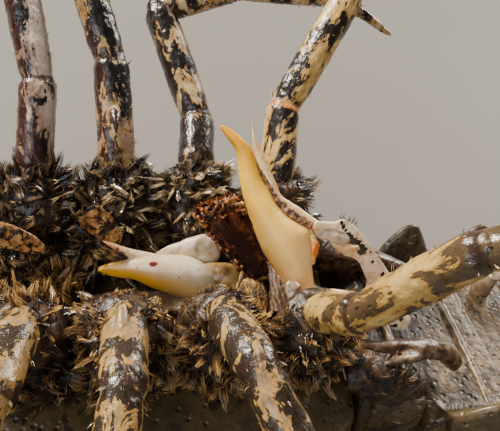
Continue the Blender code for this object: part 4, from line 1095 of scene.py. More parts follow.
STANDING_POINT = [
    ((6.16, 6.32, 24.33), (6.20, 6.33, 24.36), 0.04), ((6.14, 5.73, 23.60), (6.27, 5.86, 23.81), 0.09),
    ((6.17, 5.08, 22.84), (6.50, 5.34, 23.26), 0.14), ((6.38, 4.60, 22.35), (6.88, 4.77, 22.68), 0.17),
    ((6.66, 4.12, 21.85), (7.26, 4.05, 21.95), 0.20), ((6.96, 3.62, 21.35), (7.62, 3.45, 21.33), 0.22),
    ((7.26, 3.18, 20.92), (7.88, 2.99, 20.85), 0.24), ((7.66, 2.62, 20.38), (8.44, 2.62, 20.62), 0.24),
    ((8.40, 2.02, 19.90), (9.10, 2.22, 20.36), 0.24), ((9.13, 1.60, 19.66), (9.76, 1.78, 20.05), 0.22),
    ((9.75, 1.30, 19.45), (10.25, 1.50, 19.88), 0.18)]
# The groove along the point: a brown band, darkened to paint the shade under the shaft's overhanging edge.
GROOVE_AND_SHADE = [
    ((6.60, 4.20, 21.95), (6.65, 4.23, 22.01), 0.05), ((7.02, 3.50, 21.21), (7.16, 3.56, 21.34), 0.11),
    ((7.30, 3.06, 20.78), (7.50, 3.14, 20.96), 0.15), ((7.54, 2.70, 20.43), (7.86, 2.84, 20.70), 0.18),
    ((7.90, 2.30, 20.07), (8.28, 2.56, 20.46), 0.21), ((8.33, 1.94, 19.79), (8.70, 2.22, 20.24), 0.22),
    ((8.95, 1.62, 19.61), (9.25, 1.88, 20.02), 0.22), ((9.62, 1.30, 19.45), (9.85, 1.52, 19.78), 0.18)]
HINGE = [
    ((9.50, 1.38, 19.49), (9.77, 1.25, 19.42), 0.10), ((9.52, 0.98, 19.05), (9.92, 0.92, 19.08), 0.22),
    ((9.50, 0.80, 18.87), (10.14, 0.64, 18.84), 0.36), ((9.48, 0.46, 18.43), (10.08, 0.35, 18.47), 0.36),
    ((9.50, 0.15, 18.05), (9.93, 0.08, 18.08), 0.26), ((9.60, -0.16, 17.67), (9.80, -0.12, 17.70), 0.10)]
KNUCKLE = [
    ((9.70, 1.40, 19.55), (9.95, 0.95, 19.15), 0.20), ((10.15, 1.44, 19.85), (10.2, 0.80, 19.05), 0.38),
    ((10.6, 1.40, 19.92), (10.55, 0.68, 19.00), 0.46), ((11.24, 1.06, 19.70), (11.1, 0.45, 18.91), 0.52),
    ((11.7, 0.80, 19.55), (11.6, 0.32, 18.90), 0.42), ((12.03, 0.60, 19.35), (11.90, 0.30, 19.00), 0.22)]
BULGE = [
    ((10.85, 0.60, 19.02), (10.9, 0.50, 18.88), 0.14), ((11.2, 0.48, 19.0), (11.2, 0.18, 18.62), 0.32),
    ((11.7, 0.36, 19.02), (11.75, -0.04, 18.47), 0.38), ((12.25, 0.28, 18.98), (12.4, 0.0, 18.6), 0.32),
    ((12.6, 0.3, 18.9), (12.75, 0.15, 18.65), 0.14)]
STANDING_STEM = [
    ((9.62, 1.10, 19.65), (9.73, 1.10, 20.37), 0.30), ((10.33, 1.10, 19.13), (10.40, 1.10, 20.27), 0.36),
    ((10.92, 1.10, 18.55), (11.01, 1.10, 20.20), 0.42), ((11.58, 1.10, 17.85), (11.49, 1.10, 20.41), 0.48),
    ((12.26, 1.10, 17.25), (12.15, 1.10, 19.98), 0.50), ((12.86, 1.10, 17.03), (12.87, 1.10, 19.30), 0.48),
    ((13.44, 1.10, 16.45), (13.63, 1.10, 18.40), 0.46), ((13.98, 1.10, 15.55), (14.40, 1.10, 17.32), 0.46),
    ((14.46, 1.12, 14.65), (15.28, 1.12, 16.22), 0.48), ((14.92, 1.15, 13.68), (16.12, 1.15, 15.04), 0.52),
    ((15.50, 1.2, 12.42), (17.06, 1.2, 13.64), 0.60)]
LYING_BLADE = [
    ((-3.51, 0.11, 17.84), (-3.51, 0.09, 17.78), 0.04), ((-3.18, 0.18, 18.07), (-3.13, 0.00, 17.57), 0.22),
    ((-2.65, 0.23, 18.26), (-2.67, -0.07, 17.41), 0.32), ((-2.07, 0.23, 18.35), (-2.08, -0.13, 17.33), 0.42),
    ((-1.43, 0.25, 18.48), (-1.38, -0.19, 17.23), 0.55), ((-0.84, 0.27, 18.60), (-0.78, -0.32, 16.95), 0.70),
    ((-0.32, 0.27, 18.67), (-0.18, -0.45, 16.66), 0.85), ((0.27, 0.24, 18.65), (0.48, -0.56, 16.42), 0.95),
    ((0.93, 0.21, 18.64), (1.27, -0.69, 16.15), 1.05), ((1.64, 0.16, 18.58), (2.01, -0.78, 15.98), 1.10),
    ((2.31, 0.05, 18.36), (2.75, -0.82, 15.97), 1.05), ((2.93, -0.11, 17.98), (3.30, -0.78, 16.15), 0.85),
    ((3.40, -0.29, 17.53), (3.63, -0.66, 16.53), 0.55), ((3.66, -0.43, 17.18), (3.75, -0.54, 16.89), 0.20)]
LYING_POINT = [
    ((-3.23, 0.83, 19.45), (-3.20, 0.81, 19.39), 0.05), ((-2.92, 0.78, 19.35), (-2.87, 0.71, 19.14), 0.14),
    ((-2.52, 0.73, 19.25), (-2.47, 0.59, 18.86), 0.22), ((-2.00, 0.64, 19.04), (-1.95, 0.46, 18.56), 0.30),
    ((-1.30, 0.53, 18.84), (-1.36, 0.35, 18.31), 0.35), ((-0.60, 0.45, 18.69), (-0.72, 0.26, 18.15), 0.40),
    ((0.05, 0.38, 18.56), (-0.06, 0.23, 18.14), 0.35)]
FOLDED_SKIN = [
    ((-0.03, 1.26, 17.90), (0.03, 1.15, 17.58), 0.15), ((0.75, 1.38, 18.34), (0.89, 1.02, 17.32), 0.35),
    ((1.48, 1.46, 18.65), (1.82, 0.88, 17.05), 0.50), ((2.20, 1.52, 18.90), (2.76, 0.80, 16.91), 0.58),
    ((3.00, 1.55, 19.09), (3.38, 0.81, 17.04), 0.58), ((3.60, 1.43, 18.90), (3.75, 0.89, 17.29), 0.45),
    ((3.95, 1.24, 18.40), (3.98, 1.01, 17.68), 0.18)]
LYING_ROOT = [((2.6, 0.1, 17.0), 0.8, 0.7), ((4.2, -0.35, 16.9), 1.15, 0.95), ((5.6, -0.8, 16.7), 1.0, 0.8),
              ((7.2, -1.4, 16.6), 0.85, 0.75), ((8.8, -1.85, 16.5), 0.6, 0.6)]
LYING_STEM = [((16.3, -1.6, 13.6), 0.8, 0.75), ((14.4, -2.0, 15.2), 0.85, 0.75),
              ((12.2, -2.1, 16.0), 0.9, 0.8), ((10.2, -2.0, 16.4), 0.8, 0.75), ((9.2, -1.9, 16.5), 0.6, 0.6)]
STANDING_FACE, LYING_FACE = (-0.214, -0.753, 0.620), (-0.04, -0.94, 0.33)


def make_stylets():
    """Each first pleopod is one horny skin with a beak and a slender second point."""
    made = solid("standing_stylet", blade(STANDING_BLADE, STANDING_FACE, 60, 28), "stylet_left",
                 ("stylet_left",))
    reskinned(made, 0.075, 4, 0.03, 0.9, 2)
    made = solid("standing_point", blade(STANDING_POINT, STANDING_FACE, 50, 16, sink=-0.02), "point")
    reskinned(made, 0.06, 2, 0.02, 0.6, 2)
    rough_blade("stained_groove", GROOVE_AND_SHADE, STANDING_FACE, 50, 12, "groove", 0.26, 0.28,
                sink=0.16)
    rough_blade("horny_hinge", HINGE, STANDING_FACE, 16, 14, "hinge", 0.16, 0.25)
    rough_blade("stem_knuckle", KNUCKLE, STANDING_FACE, 20, 16, "grey_skin", 0.16, 0.35)
    rough_blade("stem_bulge", BULGE, STANDING_FACE, 20, 16, "bulge", 0.06, 0.4)
    hairs = Coat()
    for k in range(16):
        at = Vector((11.35 + k * 0.075, 1.05 + random.uniform(-0.2, 0.2), 20.36 - k * 0.03))
        rise = Vector((random.uniform(-0.15, 0.2), 0.15, random.uniform(0.25, 0.6)))
        hairs.strand(at, at + rise, scattered(0.05), 0.026, random.uniform(0.1, 0.7), (0.62, 0.5))
    hairs.piece("stem_hairs", slot="stylet")
    made = solid("standing_stem", blade(STANDING_STEM, STANDING_FACE, 44, 24), "stem", ("stylet_stem_left",))
    reskinned(made, 0.075, 3, 0.10, 0.6, 3)

    shells = [blade(LYING_BLADE, LYING_FACE, 50, 26), blade(LYING_POINT, LYING_FACE, 24, 14, sink=-0.1)]
    made = solid("lying_stylet", joined(shells), "stylet_right", ("stylet_right",))
    reskinned(made, 0.07, 3, 0.02, 0.8, 2)
    # The root takes a darker amber finish that paints the shade it lies in.
    made = solid("lying_root", tube(LYING_ROOT, (0.1, 0.35, 1.0), 24, 18), "root")
    rough(made, 0.12, 0.6)
    made = solid("lying_stem", tube(LYING_STEM, (0, 1, 0), 24, 18), "stem", ("stylet_stem_right",))
    rough(made, 0.12, 0.7)
    rough_blade("folded_skin", FOLDED_SKIN, LYING_FACE, 24, 18, "grey_skin", 0.2, 0.7)


BRUSH = [
    ((5.41, -2.10, 18.57), (6.35, -1.92, 19.00), 0.30), ((4.93, -1.55, 18.88), (6.22, -1.40, 19.40), 0.38),
    ((4.38, -1.00, 19.19), (6.02, -0.91, 19.76), 0.40), ((3.79, -0.34, 19.57), (5.78, -0.27, 20.22), 0.40),
    ((3.18, 0.36, 19.99), (5.54, 0.47, 20.77), 0.42), ((2.72, 0.95, 20.33), (5.32, 1.00, 21.15), 0.42),
    ((2.42, 1.40, 20.62), (5.10, 1.45, 21.45), 0.36), ((2.55, 1.75, 20.90), (4.70, 1.80, 21.70), 0.16)]
BRUSH_ROWS = 20
BRUSH_SPOT, FLAP_SPOT = (0.55, 0.5), (0.5, 0.5)
FLAP = [
    ((3.83, -3.48, 16.66), (6.19, -3.89, 16.93), 0.35), ((4.03, -2.99, 17.23), (6.21, -3.37, 17.48), 0.36),
    ((4.41, -2.41, 17.94), (6.25, -2.76, 18.11), 0.32), ((4.80, -1.95, 18.5), (5.95, -2.25, 18.55), 0.20),
    ((5.1, -1.9, 18.7), (5.5, -2.0, 18.7), 0.08)]
RIBBED_FOLD = [
    ((6.15, -3.49, 17.35), (7.59, -3.73, 17.51), 0.30), ((6.28, -2.95, 17.96), (7.62, -3.16, 18.10), 0.28),
    ((6.32, -2.38, 18.55), (7.30, -2.54, 18.65), 0.22), ((6.24, -1.87, 19.04), (6.75, -1.95, 19.10), 0.14),
    ((6.20, -1.45, 19.45), (6.37, -1.48, 19.47), 0.05)]
CLEAR_LOBE = [
    ((7.43, -2.44, 18.83), (7.80, -2.50, 18.85), 0.08), ((7.20, -2.60, 18.60), (8.14, -2.75, 18.70), 0.24),
    ((7.14, -2.85, 18.30), (8.22, -3.00, 18.40), 0.32), ((7.18, -3.15, 18.0), (8.05, -3.30, 18.08), 0.30),
    ((7.25, -3.51, 17.64), (7.71, -3.67, 17.61), 0.15)]
PALE_BULB = [
    ((3.53, -3.86, 16.29), (5.25, -4.24, 16.41), 0.45), ((3.67, -3.47, 16.73), (5.16, -3.73, 16.90), 0.42),
    ((4.02, -3.25, 17.06), (4.60, -3.35, 17.13), 0.15)]


def make_brush():
    """The slab of bristles that wetness has stuck together: a ribbed core, a root, loose ends and clots."""
    facing = Vector((-0.22, -0.63, 0.75))
    rough_blade("brush_core", BRUSH, facing, 30, 20, "slab", 0.22, 0.3, square=0.8)
    stalk = [((7.2, -3.6, 15.4), 0.8, 0.5), ((6.6, -2.9, 16.8), 0.7, 0.42), ((5.95, -2.05, 18.5), 0.6, 0.35)]
    rough(solid("brush_root", tube(stalk, (1, 0, 0.3), 14, 14), "slab"), 0.22, 0.3)
    coat = Coat()
    rows = edge_rows(BRUSH, BRUSH_ROWS)
    for _ in range(620):
        u, v = random.random(), random.choice((-1, 1)) * random.uniform(0.7, 1.15)
        first = random.randrange(0, 14)
        last = min(first + random.randint(5, 16), BRUSH_ROWS)
        start, end = [mix(a, b, u) + facing * thick * v * math.sin(math.pi * clipped(u, 0.15, 0.85))
                      for a, b, thick in (rows[first], rows[last])]
        if last == BRUSH_ROWS:
            end += (end - start).normalized() * random.uniform(-0.3, 0.6)
        coat.strand(start, end, facing * v * 0.06, random.uniform(0.035, 0.075), random.uniform(0.05, 0.55),
                    BRUSH_SPOT)
    for _ in range(260):
        u = random.random()
        a, b, _ = rows[random.choice((18, 19, 20))]
        at = mix(a, b, u) + facing * random.uniform(-0.4, 0.4)
        end = at + Vector((-0.55, 0.6, 0.5)) * random.uniform(0.05, 0.45) + scattered(0.2)
        coat.strand(at, end, scattered(0.08), random.uniform(0.06, 0.11), random.uniform(0.45, 0.8),
                    BRUSH_SPOT)
    coat.piece("brush_bristles", "rust")
    drops = []
    for _ in range(330):
        if random.random() < 0.7:
            a, b, _ = rows[random.choice((15, 17, 18, 19, 20))]
            at = mix(a, b, random.uniform(0, 0.95)) + facing * random.uniform(0.0, 0.5) + scattered(0.16)
        else:
            a, b, _ = rows[random.randrange(4, 19)]
            at = mix(a, b, random.uniform(-0.05, 0.08)) + facing * random.uniform(-0.1, 0.3) + scattered(0.1)
        bm = bmesh.new()
        bmesh.ops.create_icosphere(bm, subdivisions=1, radius=0.06 + 0.10 * random.random() ** 2)
        bmesh.ops.scale(bm, vec=[random.uniform(0.6, 1.7) for _ in range(3)], verts=bm.verts)
        bmesh.ops.translate(bm, vec=at, verts=bm.verts)
        drops.append(bm)
    clots = solid("brush_clots", joined(drops), "droplet")
    reskinned(clots, 0.05, 1, 0.08, 0.15, 2)


def make_flap():
    """The last right leg's base: a bristly flap with pale spikes, a ribbed fold of skin and a clear lobe."""
    facing = Vector((-0.2, -0.7, 0.68))
    for name, edges, count, sides, finish, lumps, size in (
            ("bristly_flap", FLAP, 24, 20, "amber_skin", 0.26, 0.35),
            ("ribbed_fold", RIBBED_FOLD, 30, 22, "fold_skin", 0.10, 0.3),
            ("clear_lobe", CLEAR_LOBE, 24, 20, "lens", 0.08, 0.4),
            ("pale_bulb", PALE_BULB, 16, 18, "bulge", 0.1, 0.5)):
        rough_blade(name, edges, facing, count, sides, finish, lumps, size)
    coat = Coat()
    rows = edge_rows(FLAP, 16)
    for _ in range(170):
        u, first = random.uniform(0.0, 0.98), random.randrange(0, 10)
        last = min(first + random.randint(4, 9), 16)
        start, end = [mix(a, b, u) + facing * (thick * math.sin(math.pi * clipped(u, 0.2, 0.8)) + 0.02)
                      for a, b, thick in (rows[first], rows[last])]
        coat.strand(start, end, facing * 0.05, random.uniform(0.02, 0.04), random.choice((0.35, 0.8, 1.0)),
                    FLAP_SPOT)
    for k in range(22):
        root = mix(Vector((3.75, -3.60, 16.55)), Vector((4.84, -1.83, 18.55)), k / 21) + scattered(0.06)
        end = root + Vector((0.16, 0.36, 0.50)) * random.uniform(0.9, 1.7) + Vector((-0.12, 0, 0))
        coat.strand(root, end, scattered(0.05), 0.06, 1.0, FLAP_SPOT)
    coat.piece("flap_bristles", "golden")


def furred(coat, made, count, where, lean, length, strands, tone, spread, gather, radius=0.04, bow=0.18):
    """Locks of bristles all over the part of a piece that where picks."""
    for point, normal in places(made, count, where):
        coat.tuft(point, normal + Vector(lean) + scattered(0.6), length * random.uniform(0.55, 1.25),
                  strands, spread, gather, radius, tone + random.uniform(-0.2, 0.2), bow)


# The trunk, the claws and the tail.

def near_tree(points):
    tree = KDTree(len(points))
    for i, point in enumerate(points):
        tree.insert(point, i)
    tree.balance()
    return tree


def grooved(made, lines, width, depth):
    """Presses grooves into a piece along the given lines, which are drawn onto its skin first."""
    drawn = [made.closest_point_on_mesh(point * MM)[1] for line in lines
             for point, in smooth_run([(p,) for p in line], 40)]
    tree = near_tree(drawn)
    normals = [v.normal.copy() for v in made.data.vertices]
    for vertex, normal in zip(made.data.vertices, normals):
        near = tree.find(vertex.co)[2] / MM
        if near < width:
            vertex.co -= normal * depth * MM * (0.5 + 0.5 * math.cos(math.pi * near / width))


def studs(name, made, spots, size, finish, tall=0.85):
    """Small grains on a piece's skin, nearest to the given spots. They are pointed when tall is over 1."""
    whole = []
    for spot in spots:
        _, place, normal, _ = made.closest_point_on_mesh(Vector(spot) * MM)
        bm = bmesh.new()
        bmesh.ops.create_icosphere(bm, subdivisions=2, radius=size * random.uniform(0.8, 1.15))
        bmesh.ops.scale(bm, vec=(1, 1, tall), verts=bm.verts)
        for vertex in bm.verts:
            if tall > 1 and vertex.co.z > 0:
                vertex.co.xy *= 1 - 0.85 * vertex.co.z / (size * tall * 1.15)
        turn = normal.to_track_quat("Z", "Y").to_matrix().to_4x4()
        bm.transform(Matrix.Translation(place / MM + normal * size * 0.15) @ turn)
        whole.append(bm)
    return solid(name, joined(whole), finish)


def make_trunk():
    """The back shield with its neck groove, the plate between the legs, the eyes, the feelers' bases and the
    second pleopods.
    """
    shield = from_node("carapace", "shield", "carapace", 0.33, 5, 0.12, 1.3)
    lines = []
    for sign in SIDES.values():
        lines.append(mirrored([(-5.4, 0, 0), (-5.0, 4.0, 0.3), (-7.4, 8.6, 3.0), (-11.0, 10.6, 6.5),
                               (-14.5, 10.6, 9.5)], sign))
        lines.append(mirrored([(-4.2, 1.1, 0), (0.5, 0.7, 0), (6.0, 0.8, 0), (11.5, 2.4, 0.4)], sign))
    grooved(shield, lines, 0.75, 0.35)
    spots = []
    for sign in SIDES.values():
        spots += [(random.uniform(-16, 9), random.uniform(10.0, 11.5) * sign, random.uniform(3.5, 10.0))
                  for _ in range(70)]
    studs("shield_grains", shield, spots, 0.17, "carapace")
    spots = [(x, random.uniform(10.0, 11.0) * sign, z + random.uniform(-0.3, 0.3)) for sign in SIDES.values()
             for x, z in ((-17.6, 6.4), (-16.4, 8.0), (-16.0, 5.6), (-15.2, 7.0), (-14.6, 9.0), (-17.8, 8.6),
                          (-18.8, 7.4))]
    studs("cheek_spines", shield, spots, 0.30, "carapace", 3.0)
    from_node("sternum", "leg_plate", "belly", 0.13, 3, 0.16, 0.6)
    for side in SIDES:
        from_node(f"eyestalk_{side}", f"eyestalk_{side}_skin", "belly", 0.12, 3)
        from_node(f"eye_{side}", f"eye_{side}_cap", "cornea", 0.10, 3)
        from_node(f"antenna_base_{side}", f"feeler_base_{side}", "belly", 0.19, 3, 0.12, 0.8)
        # The second pleopods' finish is darkened to paint the shade of the hollow they sit in.
        from_node(f"pleopod_2_{side}", f"second_stylet_{side}", "second", 0.12, 3, 0.08, 0.6)


def make_claws():
    for side, sign in SIDES.items():
        from_node(f"arm_{side}", f"arm_{side}_shell", "claw", 0.24, 4, 0.14, 1.0)
        from_node(f"wrist_{side}", f"wrist_{side}_shell", "claw", 0.17, 4, 0.14, 1.0)
        joint_skin(f"elbow_skin_{side}", f"arm_{side}", f"wrist_{side}")
        joint_skin(f"wrist_skin_{side}", f"wrist_{side}", f"palm_{side}")
        palm = from_node(f"palm_{side}", f"palm_{side}_shell", "claw", 0.25, 4, 0.14, 1.1)
        finger = from_node(f"finger_{side}", f"finger_{side}_shell", "claw", 0.15, 4, 0.08, 0.8)
        spots = []
        for row, height in ((-0.4, 1.6), (0.3, 3.0), (0.0, 4.3)):
            spots += [(x + row, 13.0 * sign, height + random.uniform(-0.25, 0.25))
                      for x in (-35.5, -37.0, -38.5, -40.0, -41.5, -43.0, -44.5)]
        studs(f"palm_{side}_grains", palm, spots, 0.42, "claw")
        spots = [(x, 20.1 * sign, 2.2) for x in (-48.6, -49.9, -51.2, -52.6, -54.0, -55.3, -56.6)]
        studs(f"finger_{side}_teeth", finger, spots, 0.34, "claw")
        spots = [(x, 20.6 * sign, 2.2) for x in (-48.0, -49.4, -50.9, -52.4, -53.9, -55.4, -57.0)]
        studs(f"palm_{side}_teeth", palm, spots, 0.36, "claw")


def joint_skin(name, first, second):
    """The soft skin that shows in the gap between two shells, between the corners nearest to each other."""
    shells = [[v.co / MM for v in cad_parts[node].data.vertices] for node in (first, second)]
    rims = []
    for own, other in (shells, reversed(shells)):
        tree = near_tree(other)
        rims.append(sorted(own, key=lambda c: tree.find(c)[2])[:max(len(own) // 12, 8)])
    a, b = [sum(rim, Vector()) / len(rim) for rim in rims]
    radius = (sum((c - a).length_squared for c in rims[0]) / len(rims[0])) ** 0.5
    size = clipped(radius, 0.7, 2.2) * 0.9
    centre = (a + b) / 2
    along = (b - a).normalized()
    stations = [(centre + along * reach, size * width, size * width) for reach, width in
                ((-1.3, 0.6), (-0.8, 0.86), (-0.3, 0.95), (0.0, 0.88), (0.3, 0.95), (0.8, 0.86), (1.3, 0.6))]
    side = (0, 0, 1) if abs(along.z) < 0.8 else (0, 1, 0)
    rough(solid(name, tube(stations, side, 20, 18), "membrane"), 0.2, 0.6)


def feeler(name, points, root, end, joints, nodes):
    """A whip of many short joints, each a little swollen."""
    run = smooth_run([(p, mix(root, end, i / (len(points) - 1))) for i, p in enumerate(points)], joints * 3)
    swell = (0.86, 1.06, 1.0)
    stations = [(p, size * swell[i % 3], size * swell[i % 3]) for i, (p, size) in enumerate(run)]
    made = solid(name, loft(path_rings(stations, (0, 0, 1), 8)), "feeler", nodes)
    layer = made.data.uv_layers.new(name="Strand")
    for loop, held in zip(made.data.loops, layer.data):
        held.uv = (0.5, loop.vertex_index // 8 / 3 * FEELER_JOINT)
    return made


def make_feelers():
    for side, sign in SIDES.items():
        points = mirrored([(-32.2, 5.5, 9.3), (-37.5, 7.6, 10.4), (-44.0, 11.4, 10.2), (-50.5, 16.4, 8.2),
                           (-57.0, 23.0, 5.2), (-62.0, 31.0, 3.0), (-65.0, 40.0, 1.6), (-66.0, 49.0, 0.9)],
                          sign)
        feeler(f"long_feeler_{side}", points, 0.50, 0.12, 120,
               (f"antenna_inner_{side}", f"antenna_outer_{side}"))
        a, b, c = mirrored([(-25.7, 1.5, 7.6), (-28.6, 1.6, 7.4), (-31.2, 1.7, 7.3)], sign)
        stations = [(a, 0.9, 0.9), (mix(a, b, 0.5), 0.95, 0.9), (b, 0.75, 0.75),
                    (mix(b, c, 0.3), 0.78, 0.75), (mix(b, c, 0.8), 0.66, 0.6), (c, 0.3, 0.3)]
        solid(f"short_feeler_{side}_stalk", tube(stations, (0, 1, 0), 20, 14), "belly",
              (f"antennule_{side}",))
        root = mix(b, c, 0.8)
        upper = [root, root + Vector((-4.5, 1.0 * sign, -0.6)), root + Vector((-9.5, 3.0 * sign, -1.6)),
                 root + Vector((-13.5, 5.6 * sign, -3.0))]
        lower = [root, root + Vector((-4.0, 0.8 * sign, 1.2)), root + Vector((-8.5, 1.9 * sign, 2.8)),
                 root + Vector((-12.0, 3.6 * sign, 4.8))]
        feeler(f"short_feeler_{side}_outer", upper, 0.34, 0.08, 40, ())
        feeler(f"short_feeler_{side}_inner", lower, 0.30, 0.08, 36, ())


# Length, half width, height of the back, of the underside and of the side plates.
TAIL_RINGS = [(4.6, 6.9, 4.9, 6.6, 6.6), (6.4, 8.4, 5.5, 5.0, 7.4), (6.0, 8.3, 5.6, 4.7, 7.3),
              (5.8, 7.9, 5.5, 4.4, 7.0), (5.6, 7.4, 5.1, 3.9, 6.5), (6.6, 6.6, 4.6, 3.0, 4.6)]
TAIL_PITCHES = (0.0, 0.0, 0.0, 1.5, 5.0, 10.0, 15.0)
# Share of the length, swell, height of the side plates and flare.
RING_PROFILE = (
    (0.0, 0.86, 0.60, 0.0), (0.04, 0.885, 0.62, 0.0), (0.12, 0.90, 0.66, 0.0), (0.165, 0.905, 0.72, 0.0),
    (0.185, 0.885, 0.76, 0.0), (0.205, 0.935, 0.79, 0.0), (0.24, 0.975, 0.84, 0.05),
    (0.32, 0.99, 0.92, 0.15), (0.44, 1.0, 1.02, 0.3), (0.55, 1.005, 1.08, 0.4), (0.66, 1.01, 1.10, 0.45),
    (0.76, 1.01, 1.04, 0.45), (0.85, 1.01, 0.90, 0.4), (0.93, 1.01, 0.76, 0.3), (1.0, 1.015, 0.66, 0.2),
    (1.05, 1.02, 0.61, 0.1), (1.09, 1.01, 0.59, 0.05), (1.11, 0.985, 0.58, 0.0))


def tail_frame(pitch):
    """The directions along the tail and up from it where it is turned up by pitch degrees."""
    turn = Matrix.Rotation(-math.radians(pitch), 3, "Y")
    return turn @ Vector((1, 0, 0)), turn @ Vector((0, 0, 1))


def tail_ring(start, k, length, half_width, back, under, plates):
    """One ring of the tail: an arched, grooved back, thin pointed side plates and a soft underside."""
    first, last = TAIL_PITCHES[k], TAIL_PITCHES[k + 1]
    along, _ = tail_frame((first + last) / 2)
    rings = []
    for share, swell, point, flare in RING_PROFILE:
        if k in (0, 5):
            share, swell = min(share, 0.9 + share / 11.1), mix(swell, 0.95, 0.4)
        ahead, upward = tail_frame(mix(first, last, share))
        centre = start + along * (length - GAP) * share + ahead * GAP / 2
        wide, high = half_width * swell, max(plates * point, under + 0.1)
        section = []
        for i in range(33):
            angle = math.pi * (1 + i / 32)
            c, s = math.cos(angle), math.sin(angle)
            section.append((wide * math.copysign(abs(c) ** 0.85, c), back * swell * s))
        rim = wide - 0.85
        right_plate = [(wide + flare * 0.6, high * 0.35), (wide + flare, high * 0.70),
                       (wide - 0.10 + flare, high * 0.93), (wide - 0.45 + flare, high),
                       (wide - 0.85 + flare * 0.8, high * 0.95), (rim - 0.15, mix(under, high, 0.5)),
                       (rim - 0.7, under)]
        middle = [(rim - 1.4, under * 0.94), (rim * 0.5, under), (0.0, under * 0.96)]
        section += right_plate + middle + [(-y, z) for y, z in reversed(right_plate + middle[:2])]
        points = [centre + Vector((0, y, 0)) + upward * z for y, z in section]
        for p in points:
            p.z = max(p.z, 0.06)
        rings.append(points)
    return loft(rings)


def rested(made):
    """Lifts whatever roughness has pushed below the floor."""
    for vertex in made.data.vertices:
        vertex.co.z = max(vertex.co.z, 0.0)


def swimmerets(coat, k, start, along, upward, length, half_width, under):
    """A pair of swimmerets: a short stem with two soft, fringed leaves that trail back."""
    shells = []
    for sign in SIDES.values():
        aside = Vector((0, half_width * 0.5 * sign, 0))
        root = start + along * length * 0.45 + aside + upward * (under - 0.4)
        knee = root + along * 0.6 + upward * 1.9
        shells.append(tube([(root, 0.75, 0.8), (mix(root, knee, 0.5), 0.66, 0.70), (knee, 0.5, 0.5)],
                           (0, 1, 0), 10, 12))
        for spread, size in ((1.1, 1.0), (-0.7, 0.9)):
            end = knee + along * 4.4 * size + Vector((0, spread * sign, 0)) + upward * 1.1
            side = Vector((0, 1, 0.2 * sign)).normalized()
            leaf = [(knee - along * 0.3 - upward * 0.3, 0.3, 0.25), (mix(knee, end, 0.25), 0.72, 0.24),
                    (mix(knee, end, 0.55), 0.82, 0.20), (mix(knee, end, 0.85), 0.5, 0.15), (end, 0.12, 0.08)]
            shells.append(tube(leaf, side, 14, 12))
            for _ in range(46):
                t, edge = random.uniform(0.15, 1.0), random.choice((-1, 1))
                width = 0.8 * math.sin(math.pi * min(t * 0.75 + 0.2, 0.99))
                lean = along * 0.9 + side * edge * 0.6 * (1.1 - t) + scattered(0.15)
                coat.tuft(mix(knee, end, t) + side * edge * width, lean, 1.1, 3, 0.07, 0.9, 0.022, 0.8, 0.08)
    rough(solid(f"swimmerets_{k + 1}", joined(shells), "leaf"), 0.08, 0.6)


def midline(node, lift):
    """Points down the middle of a fan blade, moved off it by lift."""
    corners = sorted((v.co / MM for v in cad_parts[node].data.vertices), key=lambda c: c.x)
    low, high = corners[0].x, corners[-1].x
    line = []
    for k in range(7):
        place = mix(low, high, 0.12 + 0.13 * k)
        near = sorted(corners, key=lambda c: abs(c.x - place))[:max(len(corners) // 10, 6)]
        line.append(sum(near, Vector()) / len(near) + Vector((0, 0, lift)))
    return line


def make_tail():
    """The tail's six rings, the swimming legs under them and the fan, whose rear edges are fringed."""
    coat = Coat()
    flesh = [((11.0, 5.6, 13.4), 0.9, 0.9), ((12.2, 5.5, 13.5), 1.5, 1.45), ((13.8, 5.5, 12.6), 1.5, 1.4),
             ((15.4, 5.6, 11.7), 1.2, 1.1), ((16.6, 5.7, 11.2), 0.7, 0.7)]
    for side, sign in SIDES.items():
        stations = [(mirrored([p], sign)[0], a, b) for p, a, b in flesh]
        # The flesh in the hollow at the tail's root takes the leg bases' near-black finish, which paints the
        # shade there.
        made = solid(f"hollow_flesh_{side}", tube(stations, (0, 1, 0), 24, 20), "coxa")
        rough(made, 0.5, 0.8)
        furred(coat, made, 60, lambda c, n: n.z > 0.1, (0.3, -0.3 * sign, 0.8), 0.8, 5, 0.35, 0.2, 0.3, 0.03)
    start = Vector((12.3, 0.0, 5.2))
    for k, sizes in enumerate(TAIL_RINGS):
        length, half_width, _, under, plates = sizes
        along, upward = tail_frame((TAIL_PITCHES[k] + TAIL_PITCHES[k + 1]) / 2)
        part = solid(f"tail_ring_{k + 1}", tail_ring(start, k, *sizes), "tail", (f"abdomen_{k + 1}",))
        rested(rough(part, 0.12, 0.9))
        top = start.z + upward.z * plates
        rim = lambda c, n: abs(c.y) > half_width - 0.9 and 3.0 < c.z < top and n.x > -0.3
        furred(coat, part, 60, rim, (0.6, 0, 0.5), 0.7, 3, 0.8, 0.10, 0.6, 0.026)
        reach = half_width - 1.7
        rib = [(start + along * length * 0.80 + Vector((0, reach * y, 0))
                + upward * (under - 0.05 - 0.30 * y * y), 0.24 + 0.10 * abs(y), 0.26)
               for y in (-1.0, -0.8, -0.4, 0.0, 0.4, 0.8, 1.0)]
        rough(solid(f"tail_rib_{k + 1}", tube(rib, (1, 0, 0), 30, 12), "rib"), 0.12, 0.4)
        if k in (2, 3, 4):
            swimmerets(coat, k, start, along, upward, length, half_width, under)
        start = start + along * length
    for fan in ("telson", "uropod_inner_left", "uropod_inner_right", "uropod_outer_left",
                "uropod_outer_right"):
        part = from_node(fan, fan + "_blade", "fan", 0.16, 3, 0.06, 0.8)
        grooved(part, [midline(fan, 2.0), midline(fan, -2.0)], 0.55, -0.22)
        low, high = [Vector(corner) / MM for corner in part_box(fan)]
        third = mix(low.x, high.x, 0.35)
        edge = lambda c, n: c.x > third and abs(n.z) < 0.55
        furred(coat, part, 160, edge, (0.9, 0, 0), 1.5, 4, 0.8, 0.10, 0.9, 0.028, 0.06)
    coat.piece("tail_fringe", "fringe", "shell")


